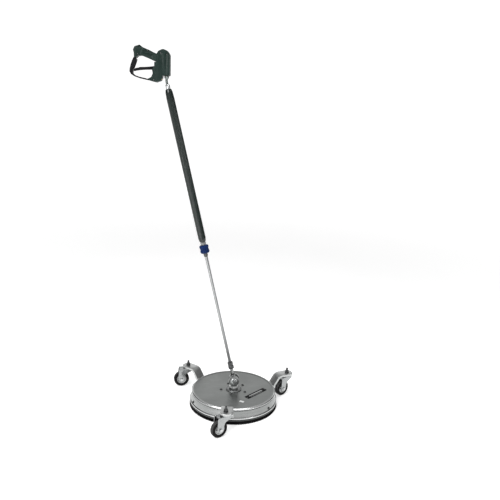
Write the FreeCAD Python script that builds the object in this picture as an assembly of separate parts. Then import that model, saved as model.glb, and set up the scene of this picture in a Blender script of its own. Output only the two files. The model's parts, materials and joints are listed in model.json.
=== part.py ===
import FreeCAD, Part
import math, os
from FreeCAD import Vector as V

# Rotary surface cleaner for a pressure washer.
# Frame: +Z up, origin on the deck axis at floor level, millimetres.
# The lance leans towards -X, in the plane Y = 0.

# ---------------------------------------------------------------- dimensions
# deck
DECK_LIP_R = 206.0        # rolled lower lip
DECK_TOP_R = 197.5        # side wall at its top
DECK_WALL_LOW_R = 202.5   # side wall at its foot
DECK_TOP_Z = 69.0
DECK_LIP_Z = 26.0
SHEET = 2.0
DECK_BORE_R = 30.5
BRUSH_R = 208.3           # splayed ends of the bristles
# castors and their brackets
CASTOR_PCR = 286.0        # castor stem circle
CASTOR_ANGLES = {"left": 144.2, "right": 24.2, "front": -95.8}
CASTOR_TRAIL_DIR = {"left": 12.0, "right": 42.0, "front": 35.0}   # the wheel trails to -(cos, sin)
TRAIL = 33.7
WHEEL_R = 37.5
TYRE_W = 24.0
RIM_R = 22.5
AXLE_Z = 37.5
BRACKET_W = 50.0
BRACKET_T = 3.0
BRACKET_TOP_Z = 108.0
BRACKET_FLANGE = 10.0
BRACKET_BEND = 34.0
STEM_TOP_Z = 132.0
# hub
PIVOT_Z = 117.0
EYE_R = 17.5
EAR_R = 24.5
EAR_LEG = 30.0             # width of the ears' legs
EAR_IN = 11.0             # inner faces of the clevis ears
EAR_OUT = 21.0
PIVOT_R = 7.0
# lance
LEAN = 13.75              # degrees from upright, towards -X
TUBE_R = 6.75
SLEEVE_R = 17.0
NUT_R = 21.0
INNER_R = 7.5
# gun
GUN_T = 38.0              # body thickness
GUN_PIVOT = (-376.0, 1512.0)
HANDLE_TILT = 21.0
INLET_BORE_R = 7.5
# running clearance of every turning fit
RUN = 0.05

parts = {}


# ---------------------------------------------------------------- helpers
def cyl(p, d, r, h):
    return Part.makeCylinder(r, h, V(*p), V(*d))


def tube(p, d, ro, ri, h):
    return cyl(p, d, ro, h).cut(cyl(V(*p) - V(*d).normalize() * 1.0, d, ri, h + 2.0))


def cone(p, d, r1, r2, h):
    return Part.makeCone(r1, r2, h, V(*p), V(*d))


def rounded_edges(pts):
    """Closed outline through 2-D points (a, b, radius), each corner rounded by its radius."""
    n = len(pts)
    corners = []
    for i in range(n):
        p0 = pts[i - 1]
        p1 = pts[i]
        p2 = pts[(i + 1) % n]
        r = p1[2] if len(p1) > 2 else 0.0
        a = V(p0[0] - p1[0], p0[1] - p1[1], 0)
        b = V(p2[0] - p1[0], p2[1] - p1[1], 0)
        la, lb = a.Length, b.Length
        a = a * (1.0 / la)
        b = b * (1.0 / lb)
        c = max(-1.0, min(1.0, a.dot(b)))
        ang = math.acos(c)
        if r <= 0 or abs(math.pi - ang) < 1e-3:
            corners.append((V(p1[0], p1[1], 0),))
            continue
        t = r / math.tan(ang / 2)
        lim = 0.49 * min(la, lb)
        if t > lim:
            t = lim
            r = t * math.tan(ang / 2)
        c0 = V(p1[0], p1[1], 0)
        s = c0 + a * t
        e = c0 + b * t
        bis = (a + b)
        bis = bis * (1.0 / bis.Length)
        cen = c0 + bis * (r / math.sin(ang / 2))
        m = cen - bis * r
        corners.append((s, m, e))
    edges = []
    for i in range(n):
        cur = corners[i]
        nxt = corners[(i + 1) % n]
        if len(cur) == 3:
            edges.append(("arc", cur[0], cur[1], cur[2]))
        a = cur[-1]
        b = nxt[0]
        if (b - a).Length > 1e-6:
            edges.append(("line", a, b))
    return edges


def face(pts, place):
    """Face from a rounded outline; place maps (a, b) to a 3-D point."""
    es = []
    for e in rounded_edges(pts):
        q = [place(v.x, v.y) for v in e[1:]]
        if e[0] == "arc":
            es.append(Part.Arc(*q).toShape())
        else:
            es.append(Part.LineSegment(*q).toShape())
    w = Part.Wire(Part.__sortEdges__(es))
    return Part.Face(w)


def revolve(pts, p=(0, 0, 0), d=(0, 0, 1)):
    """Full revolution about the axis (p, d) of an outline in (radius, height)."""
    f = face(pts, lambda r, z: V(r, 0, z))
    s = f.revolve(V(0, 0, 0), V(0, 0, 1), 360)
    s = solid(s)
    return put(s, p, d)


def put(s, p, d):
    """Take a shape built about +Z from the origin to the axis (p, d)."""
    s = s.copy()
    s.Placement = FreeCAD.Placement(V(*p), FreeCAD.Rotation(V(0, 0, 1), V(*d))).multiply(s.Placement)
    return s


def extrude_xz(pts, y0, y1):
    """Outline in (x, z), between y0 and y1."""
    f = face(pts, lambda x, z: V(x, y0, z))
    return solid(f.extrude(V(0, y1 - y0, 0)))


def extrude_xy(pts, z0, z1):
    f = face(pts, lambda x, y: V(x, y, z0))
    return solid(f.extrude(V(0, 0, z1 - z0)))


def solid(s):
    if s.ShapeType == "Solid":
        r = s
    elif s.Solids:
        r = s.Solids[0] if len(s.Solids) == 1 else s
    else:
        r = Part.Solid(s.Shells[0])
    if r.Volume < 0:
        r.reverse()
    return r


def hexagon(p, d, af, h, phase=0.0, chamfer=0.6):
    """Hexagonal prism with its corners chamfered, across flats af."""
    R = af / math.sqrt(3)
    pts = [(R * math.cos(math.radians(60 * i + phase)), R * math.sin(math.radians(60 * i + phase))) for i in range(6)]
    s = extrude_xy(pts, 0, h)
    if chamfer > 0:
        rr = R + 0.01
        a = af / 2 + (R - af / 2) * 0.25
        env = revolve([(0, 0), (a, 0), (rr, chamfer), (rr, h - chamfer), (a, h), (0, h)])
        s = solid(s.common(env))
    return put(s, p, d)


def group(shapes):
    return Part.makeCompound([solid(s) for s in shapes])


def save(name, s):
    if s.ShapeType == "Compound" and len(s.Solids) == 1:
        s = s.Solids[0]
    parts[name] = s


def fuse(*ss):
    s = ss[0]
    for t in ss[1:]:
        s = s.fuse(t)
    try:
        s = s.removeSplitter()
    except Exception:
        pass
    return solid(s)


def polar(r, a, z=0.0):
    return (r * math.cos(math.radians(a)), r * math.sin(math.radians(a)), z)


def spin(s, a, about=(0, 0, 0), d=(0, 0, 1)):
    s = s.copy()
    s.rotate(V(*about), V(*d), a)
    return s


def move(s, x, y, z):
    s = s.copy()
    s.translate(V(x, y, z))
    return s


def try_fillet(s, r, pick):
    es = [e for e in s.Edges if pick(e)]
    if not es:
        return s
    try:
        t = s.makeFillet(r, es)
        if t.isValid() and t.Volume > 0 and len(t.Solids) == 1:
            return t.Solids[0]
    except Exception:
        pass
    return s


# ---------------------------------------------------------------- deck cover
top_in = DECK_TOP_Z - SHEET
cover = revolve([
    (DECK_BORE_R, top_in), (183.5, top_in, 4.0), (188.5, top_in + 1.4, 3.0), (195.6, 66.4, 2.5), (DECK_TOP_R - 0.8 - SHEET, 61.5, 1.5),
    (DECK_WALL_LOW_R - SHEET - 0.2, 30.0, 2.0), (DECK_LIP_R - 2.8, DECK_LIP_Z + 1.0, 1.5), (DECK_LIP_R - 2.6, DECK_LIP_Z - 1.0, 1.0), (DECK_LIP_R - 5.0, 23.5), (DECK_LIP_R - 5.8, 22.0),
    (DECK_LIP_R - 2.0, 22.0, 1.5), (DECK_LIP_R, 24.0, 1.8), (DECK_LIP_R, DECK_LIP_Z + 2.0, 1.8), (DECK_WALL_LOW_R, 31.5, 2.5),
    (DECK_TOP_R - 0.8, 61.0, 1.0), (DECK_TOP_R + 1.1, 64.2, 1.0), (DECK_TOP_R + 1.1, 68.0, 3.0), (193.0, DECK_TOP_Z + 2.3, 3.0), (187.5, DECK_TOP_Z + 1.2, 3.0), (184.0, DECK_TOP_Z, 4.0),
    (DECK_BORE_R, DECK_TOP_Z)])


def wall_outer(z):
    return DECK_WALL_LOW_R + (DECK_TOP_R - 0.8 - DECK_WALL_LOW_R) * (z - 31.5) / (61.0 - 31.5)


# holes for the deck screws, bracket bolts and brush screws
deck_screw_pos = [polar(60.0, 189 + 72 * i) for i in range(5)]
for p in deck_screw_pos:
    cover = cover.cut(cyl((p[0], p[1], 60), (0, 0, 1), 3.2, 15))
# fasteners in the side wall stand square to it
WALL_TILT = math.atan2(DECK_WALL_LOW_R - DECK_TOP_R + 0.8, 61.0 - 31.5)


def wall_axis(a, y, z, out):
    """Point at a distance out from the wall's outer face, and the wall's outward normal."""
    c, s = math.cos(math.radians(a)), math.sin(math.radians(a))
    r = math.sqrt(wall_outer(z) ** 2 - y * y) + out * math.cos(WALL_TILT)
    d = (c * math.cos(WALL_TILT), s * math.cos(WALL_TILT), math.sin(WALL_TILT))
    return (c * r - s * y, s * r + c * y, z + out * math.sin(WALL_TILT)), d


BB_Z, BB_Y = 46.5, 15.0
bracket_bolts_at = [(a, y) for a in CASTOR_ANGLES.values() for y in (-BB_Y, BB_Y)]
for a, y in bracket_bolts_at:
    p, d = wall_axis(a, y, BB_Z, -10.0)
    cover = cover.cut(cyl(p, d, 3.2, 20))
BS_Z = 38.0
brush_screws_at = [a + 60.0 for a in CASTOR_ANGLES.values()]
for a in brush_screws_at:
    p, d = wall_axis(a, 0, BS_Z, -7.0)
    cover = cover.cut(cyl(p, d, 2.7, 14))
save("deck_cover", solid(cover))

# ---------------------------------------------------------------- skirt brush
wi = lambda z: wall_outer(z) - SHEET - 0.9      # outer face of the carrier's upright leg
carrier = revolve([
    (wi(41) - 3.0, 42.0, 0.8), (wi(41) - 0.5, 42.0, 0.8), (wi(32) - 0.3, 32.0), (DECK_LIP_R - 6.6, 22.5), (DECK_LIP_R - 6.6, 21.6), (DECK_LIP_R - 1.0, 21.6, 1.0),
    (DECK_LIP_R - 1.0, 15.0, 0.6), (DECK_LIP_R - 11.0, 15.0, 0.6), (DECK_LIP_R - 11.0, 24.0, 1.0)])
SLOT_R = DECK_LIP_R - 9.0
slot = revolve([(SLOT_R, 10.0), (SLOT_R + 6.2, 10.0), (SLOT_R + 6.2, 20.0), (SLOT_R, 20.0)])
carrier = carrier.cut(slot)
for a in brush_screws_at:
    p, d = wall_axis(a, 0, BS_Z, -12.0)
    carrier = carrier.cut(cyl(p, d, 2.1, 14))
for a, y in bracket_bolts_at:      # room for the bracket bolts' nuts
    p, d = wall_axis(a, y, BB_Z, -14.0)
    carrier = carrier.cut(cyl(p, d, 6.6, 16.0))
save("brush_carrier", solid(carrier))
brush = revolve([(SLOT_R + 0.2, 19.8), (SLOT_R + 6.0, 19.8), (SLOT_R + 6.0, 14.8), (SLOT_R + 7.8, 14.0), (BRUSH_R, 0.0, 0.5), (SLOT_R, 0.0, 0.5), (SLOT_R - 1.4, 14.0), (SLOT_R + 0.2, 14.8)])
save("skirt_brush", solid(brush))

# pan-head screws that hold the brush carrier inside the wall
bs = []
for a in brush_screws_at:
    p, d = wall_axis(a, 0, BS_Z, -9.0)
    q, d = wall_axis(a, 0, BS_Z, 0.15)
    sh = cyl(p, d, 2.0, 9.5)
    hd = put(revolve([(0, 0), (6.0, 0), (6.0, 1.6, 0.9), (4.2, 3.3, 1.8), (0, 3.6)]), q, d)
    bs.append(fuse(sh, hd))
save("brush_screws", group(bs))

# ---------------------------------------------------------------- brackets
# cranked channel: a foot on the side wall, an incline up and out, and a flat top over the castor
fx = wall_outer(34.0) + 0.3
fxt = wall_outer(57.0) + 0.3
T = BRACKET_T


def offset_poly(pts, t):
    """Centre-line points to a closed band of thickness t on the right of the travel."""
    out = []
    n = len(pts)
    for i, p in enumerate(pts):
        if i == 0:
            dx, dz = pts[1][0] - p[0], pts[1][1] - p[1]
            l = math.hypot(dx, dz)
            out.append((p[0] + dz / l * t, p[1] - dx / l * t))
        elif i == n - 1:
            dx, dz = p[0] - pts[-2][0], p[1] - pts[-2][1]
            l = math.hypot(dx, dz)
            out.append((p[0] + dz / l * t, p[1] - dx / l * t))
        else:
            a = (p[0] - pts[i - 1][0], p[1] - pts[i - 1][1])
            b = (pts[i + 1][0] - p[0], pts[i + 1][1] - p[1])
            la, lb = math.hypot(*a), math.hypot(*b)
            na = (a[1] / la, -a[0] / la)
            nb = (b[1] / lb, -b[0] / lb)
            k = 1 + na[0] * nb[0] + na[1] * nb[1]
            out.append((p[0] + (na[0] + nb[0]) / k * t, p[1] + (na[1] + nb[1]) / k * t))
    return out


path = [(fx, 34.0), (fxt, 57.0), (233.0, BRACKET_TOP_Z), (312.0, BRACKET_TOP_Z)]
inner_side = offset_poly(path, T)
radii = [0, 5.0, BRACKET_BEND, 0]
web_pts = [(p[0], p[1], r) for p, r in zip(path, radii)]
web_pts += [(p[0], p[1], r) for p, r in zip(inner_side[::-1], [0, BRACKET_BEND - T, 8.0, 0])]
# the foot's plate lies on the wall, so its outer side is the one away from the deck
web = extrude_xz(web_pts, -BRACKET_W / 2, BRACKET_W / 2)
plan = lambda e: [(150.0, -BRACKET_W / 2 + e), (312.0 - e, -BRACKET_W / 2 + e, 20.0 - e), (312.0 - e, BRACKET_W / 2 - e, 20.0 - e), (150.0, BRACKET_W / 2 - e)]
fl_out = [path[1], path[2], path[3]]
fl_in = offset_poly(fl_out, BRACKET_FLANGE)
fl_pts = [(p[0], p[1], r) for p, r in zip(fl_out, [0, BRACKET_BEND, 0])] + [(p[0], p[1], r) for p, r in zip(fl_in[::-1], [0, BRACKET_BEND - BRACKET_FLANGE, 4.0])]
rim_all = solid(extrude_xz(fl_pts, -BRACKET_W / 2, BRACKET_W / 2).common(extrude_xy(plan(0.0), 0.0, 130.0)))
rim_all = solid(rim_all.cut(extrude_xy(plan(2.5), -1.0, 131.0)))
web = solid(web.common(extrude_xy(plan(0.0), 0.0, 130.0)))
bracket = fuse(web, rim_all)
bracket = bracket.cut(cyl((CASTOR_PCR, 0, 90), (0, 0, 1), 5.4, 30))
for y in (-BB_Y, BB_Y):
    p, d = wall_axis(0, y, BB_Z, -6.0)
    bracket = bracket.cut(cyl(p, d, 3.2, 20))
bracket = solid(bracket)
save("castor_brackets", group([spin(bracket, a) for a in CASTOR_ANGLES.values()]))

bb = []
for a, y in bracket_bolts_at:
    lift = wall_outer(BB_Z) - math.sqrt(wall_outer(BB_Z) ** 2 - y * y)      # the flat foot stands off the round wall
    o = (lift + 0.3) * math.cos(WALL_TILT) + T + 0.1
    at = lambda k: wall_axis(a, y, BB_Z, k)[0]
    d = wall_axis(a, y, BB_Z, 0)[1]
    sh = cyl(at(o - 15.0), d, 3.0, 15.5)
    wa = tube(at(o), d, 6.0, 2.9, 1.0)
    hd = hexagon(at(o + 0.9), d, 10.0, 4.0, 0, 0.7)
    nt = hexagon(at(-8.5), d, 10.0, 5.0, 0, 0.7)
    bb.append(fuse(sh, hd, wa, nt))
save("bracket_bolts", group(bb))

# ---------------------------------------------------------------- castors
stems, nuts = [], []
UND = BRACKET_TOP_Z - BRACKET_T        # underside of the bracket's web
for k, a in CASTOR_ANGLES.items():
    P = polar(CASTOR_PCR, a)
    race = revolve([(6.0 + RUN, 98.0), (20.3, 98.0, 1.0), (21.5, 99.6, 1.0), (21.5, 102.0, 2.0), (18.0, UND - 0.05, 1.5), (0, UND - 0.05), (0, 102.2), (6.0 + RUN, 102.2)])
    stem = cyl((0, 0, UND - 1.0), (0, 0, 1), 5.0, STEM_TOP_Z - UND)
    stem = fuse(race, stem, cone((0, 0, STEM_TOP_Z - 1.0), (0, 0, 1), 5.0, 4.1, 1.0))
    stems.append(move(stem, *P))
    washer = tube((0, 0, BRACKET_TOP_Z + 0.05), (0, 0, 1), 10.5, 5.1, 2.0)
    nut = hexagon((0, 0, BRACKET_TOP_Z + 2.05), (0, 0, 1), 17.0, 8.5, a + 10, 1.0).cut(cyl((0, 0, 100), (0, 0, 1), 5.1, 40))
    nuts.append(move(fuse(washer, nut), *P))
save("castor_stems", group(stems))
save("castor_nuts", group(nuts))

LEG_IN, LEG_T = 14.6, 2.4


def castor():
    """Fork, axle, rim and tyre about the stem axis, trailing towards -X."""
    crown = revolve([(0, 92.0), (20.0, 92.0, 2.0), (23.0, 94.6, 2.0), (23.0, 96.2, 1.0), (21.0, 97.7, 1.0), (0, 97.7)])
    pin = cyl((0, 0, 96.0), (0, 0, 1), 6.0, 5.9)
    leg = [(-47.0, 94.0, 5.0), (19.0, 94.0, 3.0), (18.5, 82.0, 7.0), (4.0, 75.0, 12.0), (-12.0, 67.0, 12.0), (-17.5, 52.0, 14.0), (-TRAIL + 15.0, AXLE_Z - 4.0, 10.0),
           (-TRAIL + 8.0, AXLE_Z - 13.5, 8.0), (-TRAIL - 8.0, AXLE_Z - 13.5, 8.0), (-TRAIL - 15.0, AXLE_Z - 4.0, 10.0), (-TRAIL - 16.0, 62.0, 30.0)]
    l1 = extrude_xz(leg, LEG_IN, LEG_IN + LEG_T)
    l2 = extrude_xz(leg, -LEG_IN - LEG_T, -LEG_IN)
    bridge = extrude_xz([(-44.0, 88.5, 2.0), (18.0, 88.5, 2.0), (19.0, 93.5, 2.0), (-44.0, 93.5, 2.0)], -LEG_IN - LEG_T, LEG_IN + LEG_T)
    bridge = bridge.cut(extrude_xz([(-60, 80), (30, 80), (30, 91.0), (-60, 91.0)], -LEG_IN, LEG_IN))
    fork = fuse(crown, pin, l1, l2, bridge)
    fork = fork.cut(cyl((-TRAIL, -30, AXLE_Z), (0, 1, 0), 4.0, 60))
    ax = fuse(cyl((-TRAIL, -LEG_IN - LEG_T - 3.6, AXLE_Z), (0, 1, 0), 4.0, 2 * (LEG_IN + LEG_T) + 8.5),
              hexagon((-TRAIL, LEG_IN + LEG_T + 0.05, AXLE_Z), (0, 1, 0), 13.0, 4.4, 0, 0.8),
              hexagon((-TRAIL, -LEG_IN - LEG_T - 0.05, AXLE_Z), (0, -1, 0), 13.0, 5.0, 30, 0.8))
    w = TYRE_W / 2
    rim = revolve([(4.0 + RUN, -14.2), (8.5, -14.2, 0.6), (9.2, -10.0, 1.5), (11.0, -5.0, 2.5), (17.0, -4.0, 2.5), (20.0, -9.2, 1.5), (RIM_R, -9.6, 0.6),
                   (RIM_R, 9.6, 0.6), (20.0, 9.2, 1.5), (17.0, 4.0, 2.5), (11.0, 5.0, 2.5), (9.2, 10.0, 1.5), (8.5, 14.2, 0.6), (4.0 + RUN, 14.2)],
                  (-TRAIL, 0, AXLE_Z), (0, 1, 0))
    tyre = revolve([(RIM_R + 0.05, -9.8, 0.6), (25.5, -11.2, 2.0), (31.0, -w, 5.0), (35.0, -w + 0.8, 3.0), (WHEEL_R, -7.0, 4.0), (WHEEL_R, 7.0, 4.0), (35.0, w - 0.8, 3.0), (31.0, w, 5.0), (25.5, 11.2, 2.0), (RIM_R + 0.05, 9.8, 0.6)],
                   (-TRAIL, 0, AXLE_Z), (0, 1, 0))
    return fork, solid(ax), rim, tyre


fork, axle, rim, tyre = castor()
for k, a in CASTOR_ANGLES.items():
    P = polar(CASTOR_PCR, a)
    for nm, s in (("fork", fork), ("axle", axle), ("rim", rim), ("tyre", tyre)):
        save("castor_%s_%s" % (nm, k), solid(move(spin(s, CASTOR_TRAIL_DIR[k]), *P)))

# ---------------------------------------------------------------- rotary union
# stator: clamped under the deck, standing up through it
body = revolve([(8.4, 40.0), (21.0, 40.0, 1.5), (21.0, 62.0, 3.0), (68.0, 63.8, 1.0), (68.0, 66.95), (30.0, 66.95), (30.0, 73.5, 0.8), (20.0, 73.5), (20.0, 80.0),
                (10.0, 80.0), (10.0, 97.0, 0.8), (4.0, 97.0), (4.0, 86.0), (5.5, 86.0), (5.5, 79.0), (13.0, 79.0), (13.0, 44.0), (8.4, 44.0)])
hexb = hexagon((0, 0, 73.4), (0, 0, 1), 41.0, 6.6, 8, 1.2).cut(cyl((0, 0, 60), (0, 0, 1), 15.0, 40))
body = fuse(body, hexb)
for p in deck_screw_pos:
    body = body.cut(cyl((p[0], p[1], 60), (0, 0, 1), 2.6, 15))
save("union_body", solid(body))
ring = revolve([(30.6, 69.05), (37.5, 69.05, 0.8), (37.5, 71.5, 1.5), (34.0, 73.6, 1.0), (30.6, 73.6)])
save("union_ring", ring)
ds = []
for p in deck_screw_pos:
    ds.append(fuse(cyl((p[0], p[1], 58.5), (0, 0, 1), 2.5, 11),
                   put(revolve([(0, 0), (6.2, 0), (6.0, 1.6, 1.0), (3.6, 3.1, 1.6), (0, 3.3)]), (p[0], p[1], DECK_TOP_Z + 0.05), (0, 0, 1)),
                   hexagon((p[0], p[1], 58.8), (0, 0, 1), 8.0, 4.2, 0, 0.5)))
save("deck_screws", group(ds))
# shaft: hollow, running in two bearings and a high-pressure seal
SH = 8.0
save("union_bearings", group([revolve([(SH + RUN, 45.0), (12.95, 45.0, 0.4), (12.95, 54.0, 0.4), (SH + RUN, 54.0)]),
                              revolve([(SH + RUN, 61.0), (12.95, 61.0, 0.4), (12.95, 70.0, 0.4), (SH + RUN, 70.0)])]))
save("union_seal", revolve([(5.0 + RUN, 73.0), (12.9, 73.0), (12.9, 78.8), (5.0 + RUN, 78.8)]))
lock = hexagon((0, 0, 80.3), (0, 0, 1), 41.0, 9.5, 22, 1.5).cut(cyl((0, 0, 60), (0, 0, 1), 10.1, 40))
save("hub_lock_nut", solid(lock))

# ---------------------------------------------------------------- tilt joint, fixed half
base = revolve([(0, 90.1), (16.5, 90.1, 1.0), (17.5, 92.0, 1.0), (17.5, 97.0), (0, 97.0)])
ears = [cyl((0, s * EAR_IN if s > 0 else -EAR_OUT, PIVOT_Z), (0, 1, 0), EAR_R, EAR_OUT - EAR_IN) for s in (1, -1)]
legs = [Part.makeBox(EAR_LEG, EAR_OUT - EAR_IN, PIVOT_Z - 92.0, V(-EAR_LEG / 2, EAR_IN if s > 0 else -EAR_OUT, 92.0)) for s in (1, -1)]
legs = [l.common(cyl((0, 0, 80), (0, 0, 1), 25.0, 60)) for l in legs]
low = Part.makeBox(EAR_LEG, 2 * EAR_OUT, 7.5, V(-EAR_LEG / 2, -EAR_OUT, 92.0)).common(cyl((0, 0, 80), (0, 0, 1), 25.0, 60))
base = fuse(base, low, ears[0], ears[1], legs[0], legs[1])
base = base.cut(cyl((0, -EAR_IN, PIVOT_Z), (0, 1, 0), EYE_R + 1.0, 2 * EAR_IN))
base = base.cut(cyl((0, -30, PIVOT_Z), (0, 1, 0), PIVOT_R, 60))
base = base.cut(cyl((0, 0, 80), (0, 0, 1), 10.1, 17.0))                # socket on the union's neck
# water way: from the socket out to one ear, up it, and into the pivot bore
base = base.cut(cyl((0, 0, 96.0), (0, 1, 0), 0.0 + 2.4, 16.0)).cut(cyl((0, 16.0, 95.0), (0, 0, 1), 2.4, PIVOT_Z - 95.0))
base = solid(base)
save("tilt_base", base)

# hollow bolt and its nut
PB = -EAR_OUT
bolt = fuse(cyl((0, PB - 1.0, PIVOT_Z), (0, 1, 0), PIVOT_R, 2 * EAR_OUT + 10.0),
            hexagon((0, PB - 0.05, PIVOT_Z), (0, -1, 0), 22.0, 7.5, 8, 1.0),
            tube((0, PB - 1.05, PIVOT_Z), (0, 1, 0), 15.5, 3.0, 1.0))
bolt = bolt.cut(cyl((0, -2.0, PIVOT_Z), (0, 1, 0), 2.6, 20.0)).cut(cyl((0, 16.0, PIVOT_Z - 8.0), (0, 0, 1), 2.4, 8.0)).cut(cyl((0, 0, PIVOT_Z - 8.0), (0, 0, 1), 2.4, 16.0))
save("pivot_bolt", solid(bolt))
pn = hexagon((0, EAR_OUT + 0.1, PIVOT_Z), (0, 1, 0), 22.0, 7.5, 3, 1.0).cut(cyl((0, 0, PIVOT_Z), (0, 1, 0), PIVOT_R + 0.02, 60))
save("pivot_nut", solid(pn))

# ---------------------------------------------------------------- blank nameplate
cx, cy, ang = 105.0, -38.0, 47.0
plate = extrude_xy([(-65.0, -13.5, 3.0), (65.0, -13.5, 3.0), (65.0, 13.5, 3.0), (-65.0, 13.5, 3.0)], 0, 0.8)
tag = extrude_xy([(-11.0, -7.0, 2.5), (11.0, -7.0, 2.5), (11.0, 7.0, 2.5), (-11.0, 7.0, 2.5)], 0, 0.5)
save("blank_nameplate", group([move(spin(plate, ang), cx, cy, DECK_TOP_Z + 0.02), move(spin(tag, -25.0), 39.0, -121.0, DECK_TOP_Z + 0.02)]))

# ---------------------------------------------------------------- rotor
shaft = revolve([(2.5, 24.0), (SH, 24.0), (SH, 70.8, 0.5), (5.0, 70.8), (5.0, 79.5, 0.5), (2.5, 79.5)])
shaft = shaft.cut(cyl((-10.0, 0, 30.0), (1, 0, 0), 2.6, 20.0))
save("rotor_shaft", solid(shaft))
RB_Z0, RB_Z1, ARM_Z = 21.0, 39.5, 30.0
rb = revolve([(0, RB_Z0), (17.0, RB_Z0, 1.5), (19.0, RB_Z0 + 2.0, 0.5), (19.0, RB_Z1, 1.2), (SH + 0.03, RB_Z1), (SH + 0.03, 23.98), (0, 23.98)])
ARM_R = 5.0
for s in (1, -1):
    rb = rb.cut(cyl((s * 9.5, 0, ARM_Z), (s, 0, 0), ARM_R, 15))
rb = rb.cut(cyl((-10.0, 0, ARM_Z), (1, 0, 0), 2.6, 20.0))
save("rotor_block", solid(rb))
ARM_LEN = 168.0
arms, holders, tips = [], [], []
for s in (1, -1):
    arms.append(tube((s * 9.6, 0, ARM_Z), (s, 0, 0), ARM_R - 0.01, 3.2, ARM_LEN - 9.6 - 5.0))
    tilt = math.radians(20.0)
    d = (0, s * math.sin(tilt), -math.cos(tilt))
    c = (s * ARM_LEN, 0, ARM_Z)
    h = Part.makeBox(21.0, 18.0, 17.0, V(-12.0, -9.0, -8.5))
    h = h.makeChamfer(1.2, h.Edges)
    h.rotate(V(0, 0, 0), V(1, 0, 0), 20.0)
    h.translate(V(ARM_LEN, 0, ARM_Z))
    if s < 0:
        h.rotate(V(0, 0, 0), V(0, 0, 1), 180)
    h = h.cut(cyl((s * (ARM_LEN - 20.0), 0, ARM_Z), (s, 0, 0), ARM_R, 15.1))
    h = h.cut(cyl((s * (ARM_LEN - 6.0), 0, ARM_Z), (s, 0, 0), 2.5, 6.0))
    h = h.cut(cyl((c[0] - d[0] * 2, c[1] - d[1] * 2, c[2] - d[2] * 2), d, 4.4, 16))
    holders.append(solid(h))
    t = fuse(cyl((c[0] - d[0] * 1.5, c[1] - d[1] * 1.5, c[2] - d[2] * 1.5), d, 4.35, 12.0),
             hexagon((c[0] + d[0] * 8.7, c[1] + d[1] * 8.7, c[2] + d[2] * 8.7), d, 10.0, 3.8, 0, 0.6))
    t = t.cut(cyl((c[0] - d[0] * 3, c[1] - d[1] * 3, c[2] - d[2] * 3), d, 0.9, 20))
    tips.append(solid(t))
save("spray_arms", group(arms))
save("nozzle_holders", group(holders))
save("spray_nozzles", group(tips))

# ---------------------------------------------------------------- lance
th = math.radians(LEAN)
D = (-math.sin(th), 0.0, math.cos(th))


def L(s):
    return (D[0] * s, 0.0, PIVOT_Z + D[2] * s)


eye = cyl((0, -EAR_IN + 0.3, PIVOT_Z), (0, 1, 0), EYE_R, 2 * EAR_IN - 0.6)
neck = put(revolve([(0, 0), (9.5, 0), (9.5, 28.0, 1.5), (0, 28.0)]), L(0), D)
eye = fuse(eye, neck)
eye = eye.cut(cyl((0, -30, PIVOT_Z), (0, 1, 0), PIVOT_R + RUN, 60))
eye = eye.cut(tube((0, -3.0, PIVOT_Z), (0, 1, 0), 9.0, PIVOT_R - 0.5, 6.0))
eye = eye.cut(cyl(L(5), D, 3.5, 30))
for y in (-7.5, 5.0):
    eye = eye.cut(tube((0, y, PIVOT_Z), (0, 1, 0), 8.6, PIVOT_R - 0.5, 2.5))
save("tilt_eye", solid(eye))
seals = [tube((0, y + 0.1, PIVOT_Z), (0, 1, 0), 8.5, PIVOT_R + RUN, 2.3) for y in (-7.5, 5.0)]
CPL = 59.0                # foot of the neck coupling
nip = put(revolve([(3.5, 28.3), (8.8, 28.3, 0.6), (8.8, 32.5, 0.6), (7.0, 34.0, 0.5), (7.0, CPL - 0.3), (3.5, CPL - 0.3)]), L(0), D)
save("neck_nipple", nip)
cpl = hexagon(L(CPL), D, 22.5, 16.0, 0, 0.9)
cpl = fuse(cpl, put(revolve([(0, 15.5), (10.6, 15.5), (10.6, 19.0), (0, 19.0)]), L(CPL), D), hexagon(L(CPL + 18.5), D, 22.0, 14.5, 14, 0.9))
cpl = cpl.cut(cyl(L(CPL - 7.0), D, 3.5, 60)).cut(cyl(L(CPL + 8.8), D, TUBE_R, 40))
save("neck_coupling", solid(cpl))
TUBE_TOP = 640.0
lt = tube(L(CPL + 8.9), D, TUBE_R - 0.02, 4.6, TUBE_TOP - CPL - 8.9)
save("lower_tube", solid(lt))

# spigot on the tube's top, inside the hand nut
sp = put(revolve([(TUBE_R, 612.0), (8.0, 612.0, 0.5), (9.6, 618.0, 1.0), (9.6, 640.0), (11.4, 640.0, 0.4), (11.4, 645.0, 0.4), (7.9, 646.0), (7.9, 661.0, 0.5), (4.6, 661.0),
                  (4.6, TUBE_TOP + 0.1), (TUBE_R, TUBE_TOP + 0.1)]), L(0), D)
sp = sp.cut(put(revolve([(6.6, 652.0), (8.5, 652.0), (8.5, 654.6), (6.6, 654.6)]), L(0), D))
save("lower_spigot", solid(sp))
seals.append(put(revolve([(6.65, 652.1), (8.02, 652.1), (8.02, 654.5), (6.65, 654.5)]), L(0), D))
save("lance_seals", group(seals))

# hand nut: captive on the spigot's collar, screwed on the adapter
nut = revolve([(9.6 + RUN, 629.0), (17.0, 629.0, 2.0), (21.0, 633.5, 2.0), (21.0, 640.0, 2.0), (19.2, 643.5, 2.0), (19.2, 652.0, 2.0), (21.0, 655.5, 2.0), (21.0, 662.5, 2.0), (17.5, 666.0, 2.0),
               (11.05, 666.0), (11.05, 648.0), (11.7, 648.0), (11.7, 639.7), (9.6 + RUN, 639.7)])
for i in range(12):
    a = math.radians(30 * i)
    nut = nut.cut(cyl((21.9 * math.cos(a), 21.9 * math.sin(a), 620), (0, 0, 1), 2.0, 60))
save("hand_nut", solid(put(nut, L(0), D)))

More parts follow.
